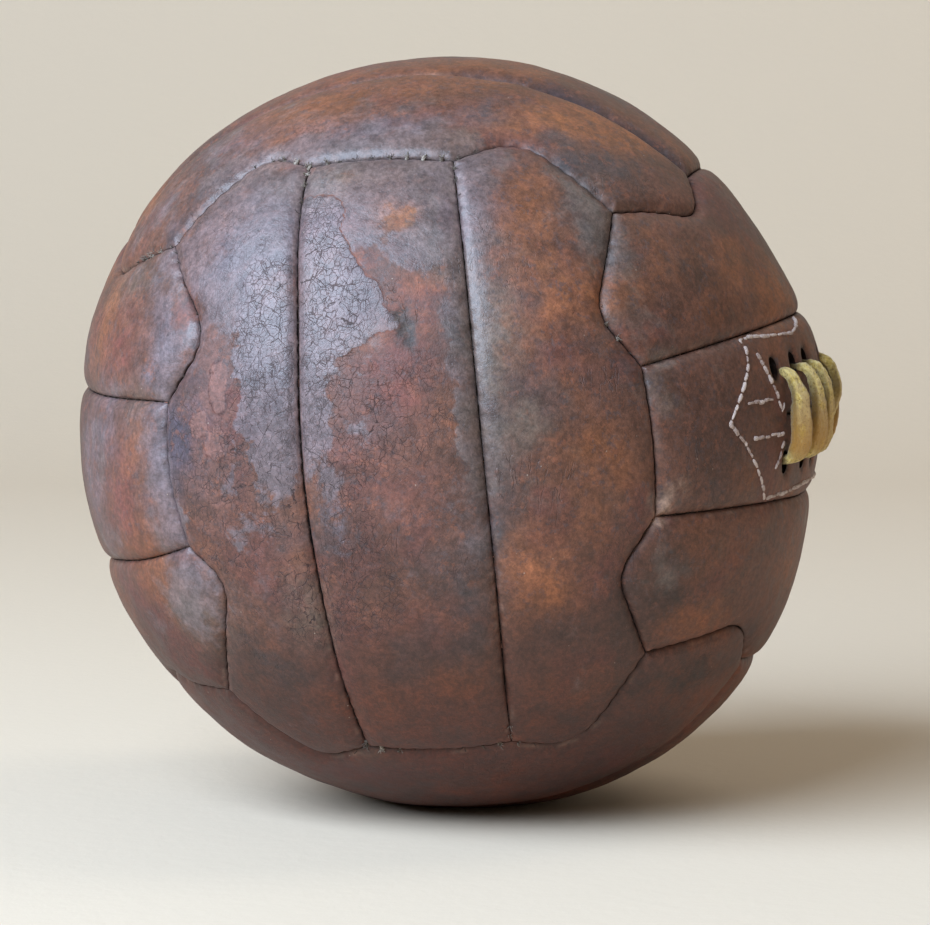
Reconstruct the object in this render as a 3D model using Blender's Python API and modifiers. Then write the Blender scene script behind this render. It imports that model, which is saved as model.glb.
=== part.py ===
"""A hand-sewn leather football with eighteen panels and a laced opening.

Six groups of three parallel strips wrap the ball, each group at right angles to
its neighbours.  The right-hand middle strip carries the slit that the bladder
goes in through, closed by a flat leather lace over a tongue.

Everything is modelled in the panels' own frame, about the ball's centre: the
front group faces -Y with its strips upright, and the lacing faces +X.  The
empty "ball_pose" then leans and turns the whole ball to the way it lies at
rest, and lifts it, so that the origin is where the ball touches the ground.
Metres, +Z up.
"""
import math

import bmesh
import bpy
import numpy as np
from mathutils import Matrix, Vector

# ---------------------------------------------------------------- driving sizes
BALL_RADIUS = 0.110          # a full-size ball, 690 mm round
LEATHER = 0.0024             # thickness of the cowhide panels
SEAM_GAP = 0.0016            # open width of a seam at the surface
THREAD_RADIUS = 0.00045      # waxed linen seam thread
THREAD_DEPTH = 0.0012        # how far the seam thread lies below the surface
CLEAR = 0.0004               # clearance kept between pieces that touch

LEAN = -5.7                  # degrees: how far the ball leans to the left at rest
TURN = -8.4                  # degrees: how far the ball is turned about its height
REST_PATCH_RADIUS = 0.018    # the soft ball flattens this far out where it rests

# Panel layout, in degrees on the ball.  A corner between two strips' ends lies
# JOINT_ALONG from the middle of its edge; the outer strips' ends bulge out to a
# rounded point NOTCH_ALONG from the middle.
JOINT_ALONG = 11.1
JOINT_ACROSS = 4.2
NOTCH_ALONG = 19.4
NOTCH_ACROSS = 10.4
NOTCH_ROUND = (0.24, 0.42)   # how much of the two sides the rounding takes
STRIP_HALF = 14.0            # half the width of a middle strip at its waist
END_STEPS = 5                # grid steps across an outer strip
MIDDLE_STEPS = 4             # grid steps across a middle strip

# Old leather has stretched: (turned right, raised) places a pull on the ball,
# and (right, up) says how far the pattern has crept there, all in degrees.
STRETCH = (
    (-17, 48, -2.0, 3.5),
    (-31, 50, 2.5, -0.5),
    (-35, 19, 4.0, 1.0),
    (-41, -11, 3.5, -1.5),
    (-35, -19, 1.5, 4.5),
    (-45, -35, 2.5, 1.0),
    (-75, 40, -2.0, -1.0),
    (45, -35, -3.5, 4.0),
    (67, -33, -2.0, 2.0),
    (35, -19, 0.0, -1.0),
)
STRETCH_REACH = 16.0         # degrees over which one pull fades

# Out of round: fractions of the radius.
TALLER = 0.035
SKEW = -0.025
TOP_SKEW = 0.032
CORNER_FULLNESS = -0.037
LACING_SWELL = 0.055
LACING_SWELL_REACH = 15.0    # degrees
LACING_SWELL_AXIS = (1.0, -0.03, 0.12)

# ------------------------------------------------------------- lacing, in metres
# "along" runs from the middle of the lacing panel towards the front, "up" across.
# Each bar of the lace runs from an upper hole down to a lower one: both alongs.
BARS = (
    (0.0385, 0.0360), (0.0265, 0.0225), (0.0175, 0.0125), (0.0025, -0.0020),
    (-0.0105, -0.0135), (-0.0235, -0.0260), (-0.0365, -0.0385),
)
HOLE_UP = 0.0138
HOLE_SIZE = (0.0062, 0.0072)
HOLE_SIDES = 10
CUTTER_DEPTH = 0.016
CUTTER_MIDDLE_DEPTH = 0.003
SLIT_HALF_LENGTH = 0.0345
SLIT_WIDTH = 0.0010
LACE_THICKNESS = 0.0024
LACE_INSIDE_DEPTH = 0.0065
LACE_TAIL = 0.0085           # each end is tucked in behind the patch
# One bar from its upper hole to its lower one: up, depth and width of the lace.
LACE_BAR = (
    (0.0138, 0.0052, 0.0044), (0.0141, 0.0012, 0.0044), (0.0120, -0.0021, 0.0056),
    (0.0078, -0.0031, 0.0076), (0.0, -0.0034, 0.0078), (-0.0078, -0.0031, 0.0078),
    (-0.0120, -0.0021, 0.0062), (-0.0141, 0.0012, 0.0044), (-0.0138, 0.0052, 0.0044),
)
LACE_WIDTH_INSIDE = 0.0050
LACE_OUTLINE = ((-0.5, 0.0), (-0.38, 0.5), (0.38, 0.5), (0.5, 0.0), (0.38, -0.5), (-0.38, -0.5))

PATCH_THICKNESS = 0.0013
PATCH_DEPTH = LEATHER + 0.0006     # faceted, so it is kept a little further from the panel
PATCH_OUTLINE = ((0.0690, 0.0), (0.0530, 0.0215), (0.0490, 0.0245), (0.0, 0.0245))
PATCH_END_HALF = 0.0015      # its two points are cut off this wide
PATCH_STEPS = (18, 4)
STITCH_RADIUS = 0.0004
STITCH_LIFT = 0.0008
STITCH_STEP = 0.004
PATCH_STITCH_STEP = 0.007
PATCH_STITCH_OUTLINE = (
    (0.0670, 0.0), (0.0575, 0.0115), (0.0520, 0.0190), (0.0500, 0.0225),
    (0.0220, 0.0215), (0.0, 0.0225),
)
TONGUE_STITCHES = {
    "upper_diagonal": ((0.0470, 0.0190), (0.0400, 0.0055), (0.0386, 0.0010), (0.0366, 0.0036)),
    "upper_bar": ((0.0575, 0.0056), (0.0425, 0.0052)),
    "lower_bar": ((0.0560, -0.0045), (0.0385, -0.0052)),
    "lower_diagonal": ((0.0382, -0.0071), (0.0415, -0.0124), (0.0440, -0.0147)),
}

TONGUE_THICKNESS = 0.0018
TONGUE_HALF_LENGTH = 0.052
TONGUE_HALF_WIDTH = 0.0110
TONGUE_DEPTH = 0.0085
TONGUE_SEWN_DEPTH = PATCH_DEPTH + PATCH_THICKNESS + CLEAR
TONGUE_SEWN_FROM = 0.041     # from here on the tongue rises to the patch
TONGUE_RISE = 0.008          # within this distance
TONGUE_STEPS = (26, 4)

BLADDER_WALL = 0.0006
BLADDER_DEPTH = LEATHER + 0.0006   # against the panels
BLADDER_SEGMENTS = 24
BLADDER_RINGS = 20
BLADDER_CROWDING = 1.2       # its rings crowd towards the neck by this power
DENT_DEPTH = 0.0170          # the bladder is pressed in this far behind the lacing
DENT_FLAT = 19.0             # degrees from the lacing's axis
DENT_END = 42.0
NECK_DEPTH = 0.0133
NECK_HALF = (0.0042, 0.0020)
NECK_PINCHED = (0.0028, 0.0011)
NECK_BEND = 0.0040           # the neck turns flat within this distance
NECK_BEND_STEPS = 3
NECK_STEP = 0.00375          # between the rings of its flat length
NECK_RINGS = 12
NECK_PINCH_REACH = 0.003     # the tie draws the neck in over this distance
TIE_ALONG = -0.0265
TIE_RADIUS = 0.0005
TIE_POINTS = 16

X, Y, Z = np.eye(3)
# group name: outward normal, direction of its strips, direction they are stacked in, strip names
GROUPS = {
    "front": (-Y, Z, X, ("left", "middle", "right")),
    "back": (Y, Z, X, ("left", "middle", "right")),
    "left": (-X, Y, Z, ("bottom", "middle", "top")),
    "right": (X, Y, Z, ("bottom", "middle", "top")),
    "top": (Z, X, Y, ("front", "middle", "back")),
    "bottom": (-Z, X, Y, ("front", "middle", "back")),
}


# ------------------------------------------------------------------ the ball form
def unit(vectors):
    return vectors / np.linalg.norm(vectors, axis=-1, keepdims=True)


def direction(right, up):
    """The unit vector that is turned right and raised by these degrees from the front."""
    a, b = math.radians(right), math.radians(up)
    return np.array([math.sin(a) * math.cos(b), -math.cos(a) * math.cos(b), math.sin(b)])


def degrees_between(vectors, axis):
    return np.degrees(np.arccos(np.clip(vectors @ axis, -1.0, 1.0)))


def stretched(vectors):
    """Let the even layout creep the way the old leather has."""
    moved = vectors.copy()
    for right, up, creep_right, creep_up in STRETCH:
        weight = np.exp(-(degrees_between(vectors, direction(right, up)) / STRETCH_REACH) ** 2)
        moved[..., 0] += weight * math.radians(creep_right)
        moved[..., 2] += weight * math.radians(creep_up)
    return unit(moved)


def ball_radius(vectors):
    """The outer surface's distance from the centre along each unit vector."""
    x, y, z = vectors[..., 0], vectors[..., 1], vectors[..., 2]
    swell = degrees_between(vectors, unit(np.array(LACING_SWELL_AXIS))) / LACING_SWELL_REACH
    form = (1.0 + TALLER * (z ** 2 - 1 / 3) + SKEW * x * z + TOP_SKEW * x * z ** 2
            + CORNER_FULLNESS * (x ** 4 + y ** 4 + z ** 4 - 0.6) + LACING_SWELL * np.exp(-swell ** 2))
    return BALL_RADIUS * form


def down_in_panel_frame():
    """Straight down, as seen in the panels' frame."""
    lean, turn = math.radians(LEAN), math.radians(TURN)
    down = np.array([math.sin(lean), 0.0, -math.cos(lean)])
    return np.array([math.cos(turn) * down[0] + math.sin(turn) * down[1],
                     -math.sin(turn) * down[0] + math.cos(turn) * down[1], down[2]])


DOWN = down_in_panel_frame()
REST_HEIGHT = float(ball_radius(DOWN)) * math.cos(REST_PATCH_RADIUS / BALL_RADIUS)


def surface(vectors, depth=0.0):
    """Points this deep under the outer surface, which is flat where the ball rests."""
    radius = ball_radius(vectors)
    lowness = vectors @ DOWN
    flat = np.where(lowness > 0.5, REST_HEIGHT / np.maximum(lowness, 0.5), radius)
    return vectors * (np.minimum(radius, flat) - depth)[..., None]


def lacing_direction(along, up):
    """Unit vectors at places on the lacing panel, given in metres from its middle."""
    a, b = np.asarray(along) / BALL_RADIUS, np.asarray(up) / BALL_RADIUS
    return np.stack([np.cos(a) * np.cos(b), -np.sin(a) * np.cos(b), np.sin(b)], axis=-1)


def lacing_point(along, up, depth=0.0):
    return surface(lacing_direction(along, up), depth)


# ------------------------------------------------------------------ the seam lines
def on_edge(owner, other, along, degrees_along, degrees_across):
    """A point near the edge between two groups, moved across it towards its owner."""
    turn = math.radians(45.0 - degrees_across)
    lat = math.radians(degrees_along)
    return (owner * math.cos(turn) + other * math.sin(turn)) * math.cos(lat) + along * math.sin(lat)


def even_steps(points, steps):
    """The same line, cut into this many equal steps."""
    lengths = np.linalg.norm(np.diff(points, axis=0), axis=1)
    run = np.concatenate([[0.0], np.cumsum(lengths)])
    targets = np.linspace(0.0, run[-1], steps + 1)
    return unit(np.stack([np.interp(targets, run, points[:, k]) for k in range(3)], axis=1))


def end_seam(owner, other, along, side):
    """From a corner of the ball past the rounded notch to the joint between two strips."""
    corner = unit(owner + other + side * along)
    notch = on_edge(owner, other, along, side * NOTCH_ALONG, NOTCH_ACROSS)
    joint = on_edge(owner, other, along, side * JOINT_ALONG, JOINT_ACROSS)
    start = notch + (corner - notch) * NOTCH_ROUND[0]
    stop = notch + (joint - notch) * NOTCH_ROUND[1]
    t = np.linspace(0.0, 1.0, 9)[:, None]
    bend = (1 - t) ** 2 * start + 2 * t * (1 - t) * notch + t ** 2 * stop
    return even_steps(np.vstack([corner, bend, joint]), END_STEPS)


def edge_seam(owner, other, along):
    """The whole seam from one corner of the ball to the next, in the direction of along."""
    low = end_seam(owner, other, along, -1.0)
    high = end_seam(owner, other, along, 1.0)[::-1]
    middle = even_steps(np.vstack([low[-1], high[0]]), MIDDLE_STEPS)
    return np.vstack([low, middle[1:-1], high])


def strip_seam(normal, along, stack, side):
    """The seam between an outer strip and its middle strip."""
    end = on_edge(along, normal, stack, side * JOINT_ALONG, JOINT_ACROSS)
    reach = math.asin(float(end @ along))
    across_end = abs(float(end @ stack))
    across_waist = math.sin(math.radians(STRIP_HALF))
    t = np.linspace(-1.0, 1.0, 2 * END_STEPS + MIDDLE_STEPS + 1)
    across = side * (across_end + (across_waist - across_end) * (1.0 - t ** 2))
    height = np.sin(reach * t)
    outward = np.sqrt(1.0 - across ** 2 - height ** 2)
    return outward[:, None] * normal + height[:, None] * along + across[:, None] * stack


def group_facing(normal):
    return next(name for name, (n, _, _, _) in GROUPS.items() if np.allclose(n, normal))


def panel_sides(group, place):
    """The four sides of one panel: two long ones and two ends, on unit vectors."""
    normal, along, stack, _ = GROUPS[group]

    def long_side(side):
        if place == side:
            return edge_seam(normal, side * stack, along)
        return strip_seam(normal, along, stack, side if place == 0 else place)

    def end_side(side):
        if place == 0:
            low = on_edge(side * along, normal, stack, -JOINT_ALONG, JOINT_ACROSS)
            high = on_edge(side * along, normal, stack, JOINT_ALONG, JOINT_ACROSS)
            return even_steps(np.vstack([low, high]), MIDDLE_STEPS)
        line = end_seam(side * along, normal, stack, place)
        return line[::-1] if place > 0 else line

    return long_side(-1), long_side(1), end_side(-1), end_side(1)


def inset(loop, distance):
    """Move a closed line of unit vectors inwards, keeping its corners sharp."""
    edges = np.roll(loop, -1, axis=0) - loop
    inward = unit(np.cross(loop + 0.5 * edges, edges))
    before = np.roll(inward, 1, axis=0)
    together = 1.0 + np.sum(before * inward, axis=1, keepdims=True)
    return unit(loop + (before + inward) / together * distance)


def panel_grid(group, place):
    """Unit vectors over one panel, a seam gap's half inside its seam lines."""
    low, high, first, last = (stretched(side) for side in panel_sides(group, place))
    n, m = len(low) - 1, len(first) - 1
    loop = np.vstack([low[:-1], last[:-1], high[::-1][:-1], first[::-1][:-1]])
    centre = unit(loop.mean(axis=0))
    turning = np.cross(loop - centre, np.roll(loop, -1, axis=0) - centre).sum(axis=0) @ centre
    half_gap = math.copysign(0.5 * SEAM_GAP / BALL_RADIUS, turning)
    loop = inset(loop, half_gap)
    low = loop[:n + 1]
    last = loop[n:n + m + 1]
    high = loop[n + m:2 * n + m + 1][::-1]
    first = np.vstack([loop[2 * n + m:], loop[:1]])[::-1]
    u = np.linspace(0.0, 1.0, n + 1)[:, None, None]
    v = np.linspace(0.0, 1.0, m + 1)[None, :, None]
    corners = ((1 - u) * (1 - v) * low[0] + u * (1 - v) * low[-1]
               + (1 - u) * v * high[0] + u * v * high[-1])
    sheet = ((1 - v) * low[:, None] + v * high[:, None]
             + (1 - u) * first[None] + u * last[None] - corners)
    return unit(sheet)


# ------------------------------------------------------------------ Blender helpers
def clear_scene():
    for old in list(bpy.data.objects):
        bpy.data.objects.remove(old, do_unlink=True)


def material(name, colour, roughness):
    made = bpy.data.materials.new(name)
    made.use_nodes = True
    shader = made.node_tree.nodes["Principled BSDF"]
    shader.inputs["Base Color"].default_value = (*colour, 1.0)
    shader.inputs["Roughness"].default_value = roughness
    shader.inputs["Metallic"].default_value = 0.0
    made.diffuse_color = (*colour, 1.0)
    return made


def place_object(name, data, stuff, collection, pose):
    thing = bpy.data.objects.new(name, data)
    collection.objects.link(thing)
    thing.parent = pose
    if stuff is not None:
        data.materials.append(stuff)
    return thing


def sheet_mesh(name, grid):
    """A smooth sheet through a grid of points, facing away from the centre."""
    rows, columns = grid.shape[:2]
    bm = bmesh.new()
    bmesh.ops.create_grid(bm, x_segments=rows - 1, y_segments=columns - 1, size=1.0)
    for vert in bm.verts:
        i = round((vert.co.x + 1.0) / 2.0 * (rows - 1))
        j = round((vert.co.y + 1.0) / 2.0 * (columns - 1))
        vert.co = Vector(grid[i, j])
    bm.normal_update()
    if sum(face.normal.dot(face.calc_center_median()) for face in bm.faces) < 0.0:
        bmesh.ops.reverse_faces(bm, faces=bm.faces)
    mesh = bpy.data.meshes.new(name)
    bm.to_mesh(mesh)
    bm.free()
    mesh.shade_smooth()
    return mesh


def thicken(thing, thickness):
    solid = thing.modifiers.new("thickness", "SOLIDIFY")
    solid.thickness = thickness
    solid.offset = -1.0
    return solid


def tube(name, points, radius, sides_level, stuff, collection, pose, cyclic=False):
    curve = bpy.data.curves.new(name, "CURVE")
    curve.dimensions = "3D"
    curve.bevel_depth = radius
    curve.bevel_resolution = sides_level
    curve.use_fill_caps = not cyclic
    spline = curve.splines.new("POLY")
    spline.points.add(len(points) - 1)
    for point, place in zip(spline.points, points):
        point.co = (*place, 1.0)
    spline.use_cyclic_u = cyclic
    return place_object(name, curve, stuff, collection, pose)


# ------------------------------------------------------------------ panels and seams
def panel_name(group, place):
    if group == "right" and place == 0:
        return "lacing_panel"
    return f"panel_{group}_{GROUPS[group][3][place + 1]}"


def build_panels(stuff, collection, pose):
    panels = {}
    for group in GROUPS:
        for place in (-1, 0, 1):
            name = panel_name(group, place)
            grid = surface(panel_grid(group, place))
            panels[name] = place_object(name, sheet_mesh(name, grid), stuff, collection, pose)
            thicken(panels[name], LEATHER)
    return panels


def trimmed(points, distance):
    """The same line with its two ends drawn back."""
    line = points.copy()
    line[0] += unit(line[1] - line[0]) * distance
    line[-1] += unit(line[-2] - line[-1]) * distance
    return line


def sew(name, line, stuff, collection, pose):
    points = trimmed(surface(line, THREAD_DEPTH), SEAM_GAP / 2 + THREAD_RADIUS + CLEAR)
    tube(name, points, THREAD_RADIUS, 1, stuff, collection, pose)


def build_seam_threads(stuff, collection, pose):
    """One thread in each seam: between the strips of a group, and where two groups meet."""
    for group, (normal, along, stack, names) in GROUPS.items():
        for side in (-1, 1):
            line = stretched(strip_seam(normal, along, stack, side))
            name = f"thread_{group}_{names[side + 1]}_to_middle"
            sew(name, line, stuff, collection, pose)
            line = stretched(edge_seam(normal, side * stack, along))
            name = f"thread_{group}_to_{group_facing(side * stack)}"
            sew(name, line, stuff, collection, pose)


# ------------------------------------------------------------------ the opening
def cutter_object(name, size, sides, collection, pose):
    """A round cutter with this many sides, or a box for none."""
    bm = bmesh.new()
    if sides:
        bmesh.ops.create_cone(bm, cap_ends=True, segments=sides, radius1=0.5, radius2=0.5, depth=1.0)
    else:
        bmesh.ops.create_cube(bm, size=1.0)
    bmesh.ops.scale(bm, vec=size, verts=bm.verts)
    mesh = bpy.data.meshes.new(name)
    bm.to_mesh(mesh)
    bm.free()
    cutter = place_object(name, mesh, None, collection, pose)
    cutter.hide_render = True
    cutter.display_type = "WIRE"
    return cutter


def opening_cutters(collection, pose):
    """The slit and the lace holes, as cutters that pass through panel and patch."""
    cutters = []
    for upper, lower in BARS:
        for along, up in ((upper, HOLE_UP), (lower, -HOLE_UP)):
            outward = Vector(lacing_direction(along, up))
            across = outward.cross(Vector((0.0, -1.0, 0.0))).normalized()
            size = (*HOLE_SIZE, CUTTER_DEPTH)
            cutter = cutter_object("lace_hole_cutter", size, HOLE_SIDES, collection, pose)
            turned = Matrix((across.cross(outward), across, outward)).transposed()
            cutter.rotation_mode = "QUATERNION"
            cutter.rotation_quaternion = turned.to_quaternion()
            cutter.location = lacing_point(along, up, CUTTER_MIDDLE_DEPTH)
            cutters.append(cutter)
    size = (0.5 * BALL_RADIUS, 2 * SLIT_HALF_LENGTH, SLIT_WIDTH)
    slit = cutter_object("slit_cutter", size, 0, collection, pose)
    slit.location = (BALL_RADIUS, 0.0, 0.0)
    cutters.append(slit)
    return cutters


def cut(thing, cutters):
    for number, cutter in enumerate(cutters):
        hole = thing.modifiers.new(f"hole_{number}", "BOOLEAN")
        hole.operation = "DIFFERENCE"
        hole.object = cutter


def build_patch(stuff, collection, pose):
    """The lining patch behind the lacing panel: a flat long hexagon bent to the ball."""
    ends = np.array(PATCH_OUTLINE)
    across = np.linspace(-1.0, 1.0, PATCH_STEPS[1] + 1)
    along = ends[0, 0] * np.sin(np.linspace(-math.pi / 2, math.pi / 2, PATCH_STEPS[0] + 1))
    half = np.interp(np.abs(along), ends[::-1, 0], ends[::-1, 1])
    half = np.maximum(half, PATCH_END_HALF)
    grid = lacing_point(np.repeat(along[:, None], len(across), axis=1), half[:, None] * across, PATCH_DEPTH)
    patch = place_object("lining_patch", sheet_mesh("lining_patch", grid), stuff, collection, pose)
    thicken(patch, PATCH_THICKNESS)
    return patch


def build_tongue(stuff, collection, pose):
    """The leather tongue under the slit, its front end sewn up against the patch."""
    along = np.linspace(-TONGUE_HALF_LENGTH, TONGUE_HALF_LENGTH, TONGUE_STEPS[0] + 1)
    across = np.linspace(-TONGUE_HALF_WIDTH, TONGUE_HALF_WIDTH, TONGUE_STEPS[1] + 1)
    rise = np.clip((along - TONGUE_SEWN_FROM) / TONGUE_RISE, 0.0, 1.0)
    rise = rise ** 2 * (3.0 - 2.0 * rise)
    depth = TONGUE_DEPTH + (TONGUE_SEWN_DEPTH - TONGUE_DEPTH) * rise
    shape = (len(along), len(across))
    grid = lacing_point(np.broadcast_to(along[:, None], shape), np.broadcast_to(across, shape),
                        np.broadcast_to(depth[:, None], shape))
    tongue = place_object("tongue", sheet_mesh("tongue", grid), stuff, collection, pose)
    thicken(tongue, TONGUE_THICKNESS)


def fine_line(corners, step, closed=False):
    """Points every step or so along straight runs between corners on the lacing panel."""
    corners = np.array(corners + (corners[0],) if closed else corners)
    line = []
    for start, stop in zip(corners[:-1], corners[1:]):
        count = max(1, round(float(np.linalg.norm(stop - start)) / step))
        line += [start + (stop - start) * k / count for k in range(count)]
    if not closed:
        line.append(corners[-1])
    return np.array(line)


def build_stitches(stuff, collection, pose):
    """The white thread that shows on the lacing panel."""
    quarter = PATCH_STITCH_OUTLINE
    upper = quarter + tuple((-a, u) for a, u in quarter[-2::-1])
    outline = upper + tuple((a, -u) for a, u in upper[-2:0:-1])
    line = fine_line(outline, PATCH_STITCH_STEP, closed=True)
    tube("patch_stitching", lacing_point(line[:, 0], line[:, 1], -STITCH_LIFT), STITCH_RADIUS, 1,
         stuff, collection, pose, cyclic=True)
    for place, corners in TONGUE_STITCHES.items():
        line = fine_line(corners, STITCH_STEP)
        tube(f"tongue_stitch_{place}", lacing_point(line[:, 0], line[:, 1], -STITCH_LIFT), STITCH_RADIUS, 1,
             stuff, collection, pose)


# ------------------------------------------------------------------ the lace
def smooth_line(points, pieces):
    """A Catmull-Rom line through the points, with this many pieces between two of them."""
    padded = np.vstack([2 * points[0] - points[1], points, 2 * points[-1] - points[-2]])
    t = np.linspace(0.0, 1.0, pieces, endpoint=False)[:, None]
    line = []
    for a, b, c, d in zip(padded[:-3], padded[1:-2], padded[2:-1], padded[3:]):
        line.append(0.5 * (2 * b + (c - a) * t + (2 * a - 5 * b + 4 * c - d) * t ** 2
                           + (3 * b - a - 3 * c + d) * t ** 3))
    return np.vstack(line + [points[-1:]])


def lace_route():
    """Places of the lace's centre line: along, up, depth and width, hole by hole."""
    inside = (LACE_INSIDE_DEPTH, LACE_WIDTH_INSIDE)
    first, last = BARS[0][0], BARS[-1][1]
    route = [(first - 0.3 * LACE_TAIL, HOLE_UP + LACE_TAIL, *inside),
             (first - 0.1 * LACE_TAIL, HOLE_UP + 0.55 * LACE_TAIL, *inside)]
    for number, (upper, lower) in enumerate(BARS):
        for up, depth, width in LACE_BAR:
            share = min(max(0.5 - 0.5 * up / HOLE_UP, 0.0), 1.0)
            route.append((upper + (lower - upper) * share, up, depth, width))
        if number + 1 < len(BARS):
            onward = BARS[number + 1][0] - lower
            route += [(lower + onward * (0.5 - k), -2 * k * HOLE_UP, *inside) for k in (0.28, -0.28)]
    route += [(last + 0.1 * LACE_TAIL, -HOLE_UP - 0.55 * LACE_TAIL, *inside),
              (last + 0.3 * LACE_TAIL, -HOLE_UP - LACE_TAIL, *inside)]
    return np.array(route)


def build_lace(stuff, collection, pose):
    """One flat thong, laced over and over through the holes, as a loft of flat sections."""
    route = lace_route()
    centre = smooth_line(lacing_point(route[:, 0], route[:, 1], route[:, 2]), 2)
    width = smooth_line(route[:, 3:], 2)[:, 0]
    ahead = unit(np.gradient(centre, axis=0))
    turn = np.arctan2(-centre[:, 1], centre[:, 0])
    slitwise = np.stack([-np.sin(turn), -np.cos(turn), np.zeros(len(turn))], axis=1)
    side = unit(slitwise - ahead * np.sum(ahead * slitwise, axis=1, keepdims=True))
    over = np.cross(ahead, side)
    bm = bmesh.new()
    rings = []
    for place, wide, s, o in zip(centre, width, side, over):
        rings.append([bm.verts.new(place + s * a * wide + o * b * LACE_THICKNESS) for a, b in LACE_OUTLINE])
    for near, far in zip(rings[:-1], rings[1:]):
        for k in range(len(LACE_OUTLINE)):
            bm.faces.new((near[k - 1], near[k], far[k], far[k - 1]))
    bm.faces.new(rings[0])
    bm.faces.new(rings[-1][::-1])
    bmesh.ops.recalc_face_normals(bm, faces=bm.faces)
    mesh = bpy.data.meshes.new("lace")
    bm.to_mesh(mesh)
    bm.free()
    mesh.shade_smooth()
    place_object("lace", mesh, stuff, collection, pose)


# ------------------------------------------------------------------ the bladder
def bladder_depth(from_axis):
    """How deep the bladder lies, by the angle from the lacing's axis in degrees."""
    fade = np.clip((from_axis - DENT_FLAT) / (DENT_END - DENT_FLAT), 0.0, 1.0)
    fade = fade ** 2 * (3.0 - 2.0 * fade)
    return DENT_DEPTH + (BLADDER_DEPTH - DENT_DEPTH) * fade


def neck_place(step, turn):
    """A point of the neck: it leaves the bladder upright, then lies back under the tongue."""
    bend = min(step / NECK_BEND_STEPS, 1.0) * math.pi / 2
    reach = NECK_BEND * (1.0 - math.cos(bend)) + max(step - NECK_BEND_STEPS, 0) * NECK_STEP
    rise = (DENT_DEPTH - NECK_DEPTH) * math.sin(bend)
    pinch = math.exp(-((reach + TIE_ALONG) / NECK_PINCH_REACH) ** 2)
    wide, high = (full + (tied - full) * pinch for full, tied in zip(NECK_HALF, NECK_PINCHED))
    lift = high * math.cos(turn)
    return lacing_point(lift * math.cos(bend) - reach, wide * math.sin(turn),
                        DENT_DEPTH - rise - lift * math.sin(bend))


def build_bladder(stuff, collection, pose):
    """A rubber bag with its pole under the lacing, drawn out there into an open neck."""
    bm = bmesh.new()
    bmesh.ops.create_uvsphere(bm, u_segments=BLADDER_SEGMENTS, v_segments=BLADDER_RINGS, radius=1.0)
    pole = max(bm.verts, key=lambda vert: vert.co.z)
    bmesh.ops.delete(bm, geom=[pole], context="VERTS")
    turns = {}
    for vert in bm.verts:
        turn = math.atan2(vert.co.y, vert.co.x)
        polar = math.pi * (math.acos(max(-1.0, min(1.0, vert.co.z))) / math.pi) ** BLADDER_CROWDING
        outward = np.array([math.cos(polar), -math.sin(polar) * math.cos(turn),
                            math.sin(polar) * math.sin(turn)])
        vert.co = Vector(surface(outward, float(bladder_depth(math.degrees(polar)))))
        turns[vert] = turn
    rim = [edge for edge in bm.edges if edge.is_boundary]
    for step in range(NECK_RINGS):
        made = bmesh.ops.extrude_edge_only(bm, edges=rim)["geom"]
        rim = [item for item in made if isinstance(item, bmesh.types.BMEdge) and item.is_boundary]
        fresh = {}
        for vert in (item for item in made if isinstance(item, bmesh.types.BMVert)):
            fresh[vert] = next(turns[edge.other_vert(vert)] for edge in vert.link_edges
                               if edge.other_vert(vert) in turns)
            vert.co = Vector(neck_place(step, fresh[vert]))
        turns.update(fresh)
    bmesh.ops.recalc_face_normals(bm, faces=bm.faces)
    if sum(face.normal.dot(face.calc_center_median()) for face in bm.faces) < 0.0:
        bmesh.ops.reverse_faces(bm, faces=bm.faces)
    mesh = bpy.data.meshes.new("bladder")
    bm.to_mesh(mesh)
    bm.free()
    mesh.shade_smooth()
    thicken(place_object("bladder", mesh, stuff, collection, pose), BLADDER_WALL)


def build_neck_tie(stuff, collection, pose):
    """The string that ties the bladder's neck shut."""
    wide, high = (half + CLEAR + TIE_RADIUS for half in NECK_PINCHED)
    turns = np.linspace(0.0, 2.0 * math.pi, TIE_POINTS, endpoint=False)
    ring = lacing_point(np.full(TIE_POINTS, TIE_ALONG), wide * np.sin(turns),
                        NECK_DEPTH - high * np.cos(turns))
    tube("neck_tie", ring, TIE_RADIUS, 1, stuff, collection, pose, cyclic=True)


def main():
    clear_scene()
    parts = bpy.data.collections.new("football")
    tools = bpy.data.collections.new("cutters")
    for collection in (parts, tools):
        bpy.context.scene.collection.children.link(collection)
    pose = bpy.data.objects.new("ball_pose", None)
    pose.rotation_mode = "ZYX"
    pose.rotation_euler = (0.0, math.radians(LEAN), math.radians(TURN))
    pose.location = (0.0, 0.0, REST_HEIGHT)
    parts.objects.link(pose)

    leather = material("leather_brown", (0.16, 0.065, 0.035), 0.5)
    lining = material("leather_lining", (0.32, 0.20, 0.11), 0.8)
    linen = material("thread_linen", (0.42, 0.33, 0.22), 0.8)
    white = material("thread_white", (0.62, 0.54, 0.47), 0.8)
    suede = material("lace_suede", (0.55, 0.44, 0.18), 0.9)
    rubber = material("bladder_rubber", (0.35, 0.13, 0.08), 0.6)

    panels = build_panels(leather, parts, pose)
    cutters = opening_cutters(tools, pose)
    cut(panels["lacing_panel"], cutters)
    cut(build_patch(lining, parts, pose), cutters)
    build_seam_threads(linen, parts, pose)
    build_stitches(white, parts, pose)
    build_tongue(lining, parts, pose)
    build_lace(suede, parts, pose)
    build_bladder(rubber, parts, pose)
    build_neck_tie(linen, parts, pose)


main()
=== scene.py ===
"""The looks of an old laced leather football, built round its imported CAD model.

The panels are remade finely from the ball's own formulas: soft shoulders that
roll down into the seams, stitches that pinch them, cracked and flaked leather.
Metres, +Z up; the ball rests at the origin.
"""
import math

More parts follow.
